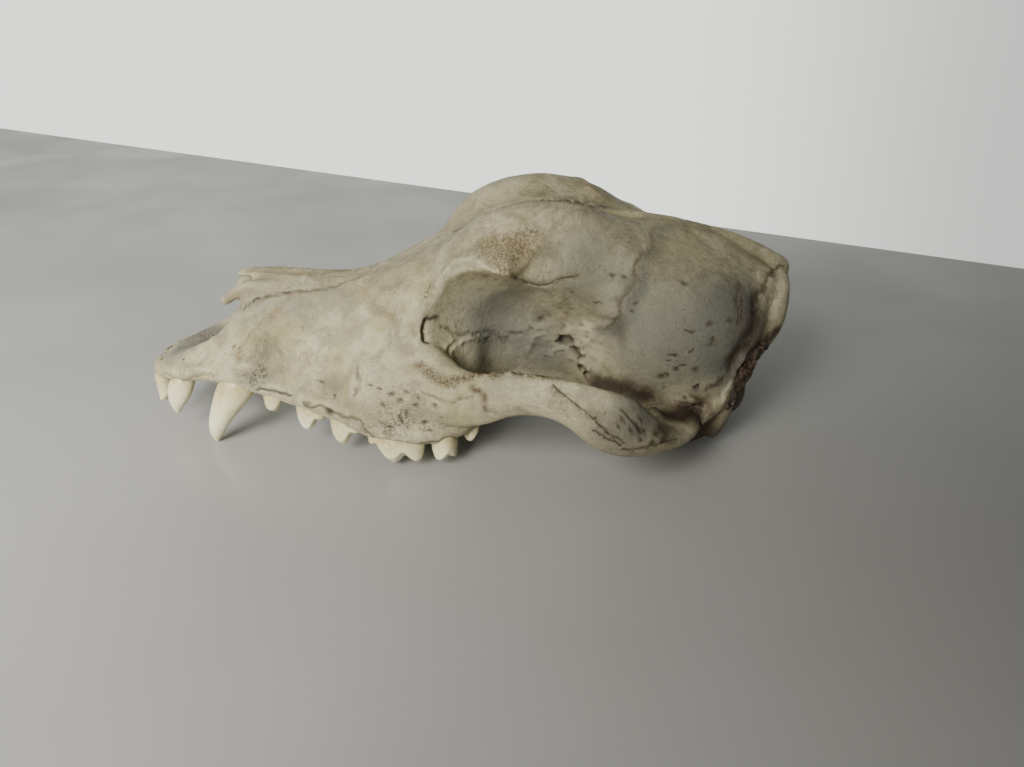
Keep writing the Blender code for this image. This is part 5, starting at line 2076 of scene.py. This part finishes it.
@dataclass
class TissueFringe:
    """Ragged crust of dried tissue along the lower end of the crest over the nape."""

    path: Table = (
        (169.0, -16.6, 30.8),
        (167.2, -18.4, 28.4),
        (165.2, -19.9, 25.6),
        (163.2, -21.2, 22.0),
        (161.6, -22.2, 18.6),
        (160.6, -22.8, 15.4),
    )
    outward: Row = (0.62, -0.74, -0.10)
    lumps: int = 70
    lump_sizes: tuple[float, float] = (0.5, 1.5)
    spines: int = 34
    spine_lengths: tuple[float, float] = (1.2, 3.2)
    spine_width: float = 0.42
    seed: int = 5
    finish: TissueFinish = TissueFinish()

    def build(self, side: Side) -> bpy.types.Object:
        """Makes the crust of one side and sets it on the bone.

        Args:
            side: the half of the skull.

        Returns:
            The crust.
        """
        chance = np.random.default_rng(self.seed)
        line = smooth_path(self.path, 12)
        outward = Vector(self.outward).normalized()
        clay = Clay()
        for _ in range(self.lumps):
            middle = Vector(line[chance.integers(len(line))]) + Vector(chance.normal(0.0, 0.7, 3))
            size = chance.uniform(*self.lump_sizes)
            clay.ball(tuple(middle), (size * 0.8, size * 0.7, size), 0.0, side)
        for _ in range(self.spines):
            foot = Vector(line[chance.integers(len(line))]) + Vector(chance.normal(0.0, 0.4, 3))
            way = (outward + Vector(chance.normal(0.0, 0.45, 3))).normalized()
            tip = foot + way * chance.uniform(*self.spine_lengths)
            bent = (foot + tip) / 2 + Vector(chance.normal(0.0, 0.25, 3))
            rows = [(*point, width, width) for point, width in
                    ((foot, self.spine_width), (bent, self.spine_width * 0.75),
                     (tip, self.spine_width * 0.45))]
            clay.tube(rows, side, 3, 8)
        item = fuse(clay.set(f"{side.word}_dried_tissue"), Grain.TISSUE)
        self.finish.dress(item)
        seat(item, "", 60.0)
        return item


@dataclass
class Studio:
    """Pale table, soft light and the camera."""

    eye: Row = (0.02073, -0.2036, 0.1187)
    turn: float = 1.69
    rise: float = 28.2
    roll: float = -0.7
    lens: float = 26.72
    sensor: float = 36.0
    table: Table = ((-1.9, -1.2, 0.0), (1.4, -1.2, 0.0), (1.4, -0.50, 0.0), (-1.9, 1.29, 0.0))
    wall: Row = (1.66, 1.72, 1.60)
    wall_end: Row = (0.80, 0.82, 0.78)
    room: Row = (0.05, 0.05, 0.048)
    # Where the wall starts and ends to the far side, to the right and upwards.
    far_fade: Row = (0.05, 0.35)
    end_fade: Row = (0.15, 0.55)
    high_fade: Row = (0.30, 0.50)
    finish: TableFinish = TableFinish()

    def _camera(self) -> None:
        """Puts the camera where the photograph was taken from."""
        turn, rise, roll = (math.radians(angle) for angle in (self.turn, self.rise, self.roll))
        back = Vector((math.sin(turn) * math.cos(rise), -math.cos(turn) * math.cos(rise),
                       math.sin(rise)))
        right = Vector((math.cos(turn), math.sin(turn), 0.0))
        up = back.cross(right)
        level_right, level_up = right.copy(), up.copy()
        right = math.cos(roll) * level_right + math.sin(roll) * level_up
        up = -math.sin(roll) * level_right + math.cos(roll) * level_up
        data = bpy.data.cameras.new("camera")
        data.lens = self.lens
        data.sensor_width = self.sensor
        data.clip_start = 0.005
        camera = bpy.data.objects.new("camera", data)
        axes = Matrix((right, up, back)).transposed().to_4x4()
        camera.matrix_world = Matrix.Translation(self.eye) @ axes
        bpy.context.scene.collection.objects.link(camera)
        bpy.context.scene.camera = camera

    def _room(self) -> None:
        """Surrounds the table with a dim room whose far wall is white and fades to the right."""
        world = bpy.data.worlds.new("room")
        bpy.context.scene.world = world
        world.use_nodes = True
        tree = world.node_tree
        way = tree.nodes.new("ShaderNodeSeparateXYZ")
        tree.links.new(tree.nodes.new("ShaderNodeTexCoord").outputs["Generated"], way.inputs[0])
        wall = self._fade(tree, way.outputs["X"], self.end_fade, self.wall, self.wall_end)
        level = self._fade(tree, way.outputs["Y"], self.far_fade, self.room, wall)
        sky = self._fade(tree, way.outputs["Z"], self.high_fade, level, self.room)
        tree.links.new(sky, tree.nodes["Background"].inputs["Color"])

    def _fade(self, tree: bpy.types.NodeTree, along: bpy.types.NodeSocket, span: Row,
              first: object, second: object) -> bpy.types.NodeSocket:
        """Fades one colour into another along an axis.

        Args:
            tree: the world's nodes.
            along: the axis.
            span: where the fade starts and ends.
            first: the colour before it, or the socket that gives it.
            second: the colour after it, or the socket that gives it.

        Returns:
            The faded colour.
        """
        share = tree.nodes.new("ShaderNodeMapRange")
        share.interpolation_type = "SMOOTHSTEP"
        share.inputs["From Min"].default_value, share.inputs["From Max"].default_value = span
        tree.links.new(along, share.inputs["Value"])
        made = tree.nodes.new("ShaderNodeMix")
        made.data_type = "RGBA"
        tree.links.new(share.outputs["Result"], made.inputs[0])
        for socket, value in ((made.inputs[6], first), (made.inputs[7], second)):
            if isinstance(value, bpy.types.NodeSocket):
                tree.links.new(value, socket)
            else:
                socket.default_value = (*value, 1.0)
        return made.outputs[2]

    def _lamp(self, name: str, place: Row, aim: Row, size: Row, power: float,
              colour: Row, spread: float) -> None:
        """Adds a soft rectangular light.

        Args:
            name: its name.
            place: where it stands.
            aim: what it points at.
            size: its width and height.
            power: its power in watts.
            colour: its colour.
            spread: how wide its beam is, in degrees.
        """
        data = bpy.data.lights.new(name, "AREA")
        data.spread = math.radians(spread)
        data.shape = "RECTANGLE"
        data.size, data.size_y = size
        data.energy = power
        data.color = colour
        lamp = bpy.data.objects.new(name, data)
        lamp.location = place
        way = Vector(aim) - Vector(place)
        lamp.rotation_euler = way.to_track_quat("-Z", "Y").to_euler()
        bpy.context.scene.collection.objects.link(lamp)

    def build(self) -> None:
        """Sets the stage."""
        self._camera()
        self._lamp("window", (-0.25, -0.37, 0.255), (-0.18, -0.05, 0.0), (0.30, 0.26), 1.42,
                   (1.0, 0.985, 0.94), 80.0)
        self._lamp("ceiling", (-0.20, -0.25, 0.80), (-0.12, 0.0, 0.0), (0.8, 0.6), 0.22,
                   (0.98, 0.99, 1.0), 120.0)
        self._room()
        mesh = bmesh.new()
        mesh.faces.new([mesh.verts.new(corner) for corner in self.table])
        data = bpy.data.meshes.new("table_top")
        mesh.to_mesh(data)
        mesh.free()
        floor = bpy.data.objects.new("table_top", data)
        bpy.context.scene.collection.objects.link(floor)
        self.finish.dress(floor)


def main() -> None:
    """Builds the pieces in order and reports each one."""
    logging.basicConfig(level=logging.INFO, format="%(name)s: %(message)s")
    noise.seed_set(NOISE_SEED)
    Studio().build()
    teeth = ToothRow()
    bone = Cranium().build(teeth)
    fringe = TissueFringe()
    pieces = [bone, *teeth.build(), *(fringe.build(side) for side in Side)]
    for piece in pieces:
        piece.data.calc_loop_triangles()
        log.info("%s has %d triangles", piece.name, len(piece.data.loop_triangles))


if __name__ == "__main__":
    main()
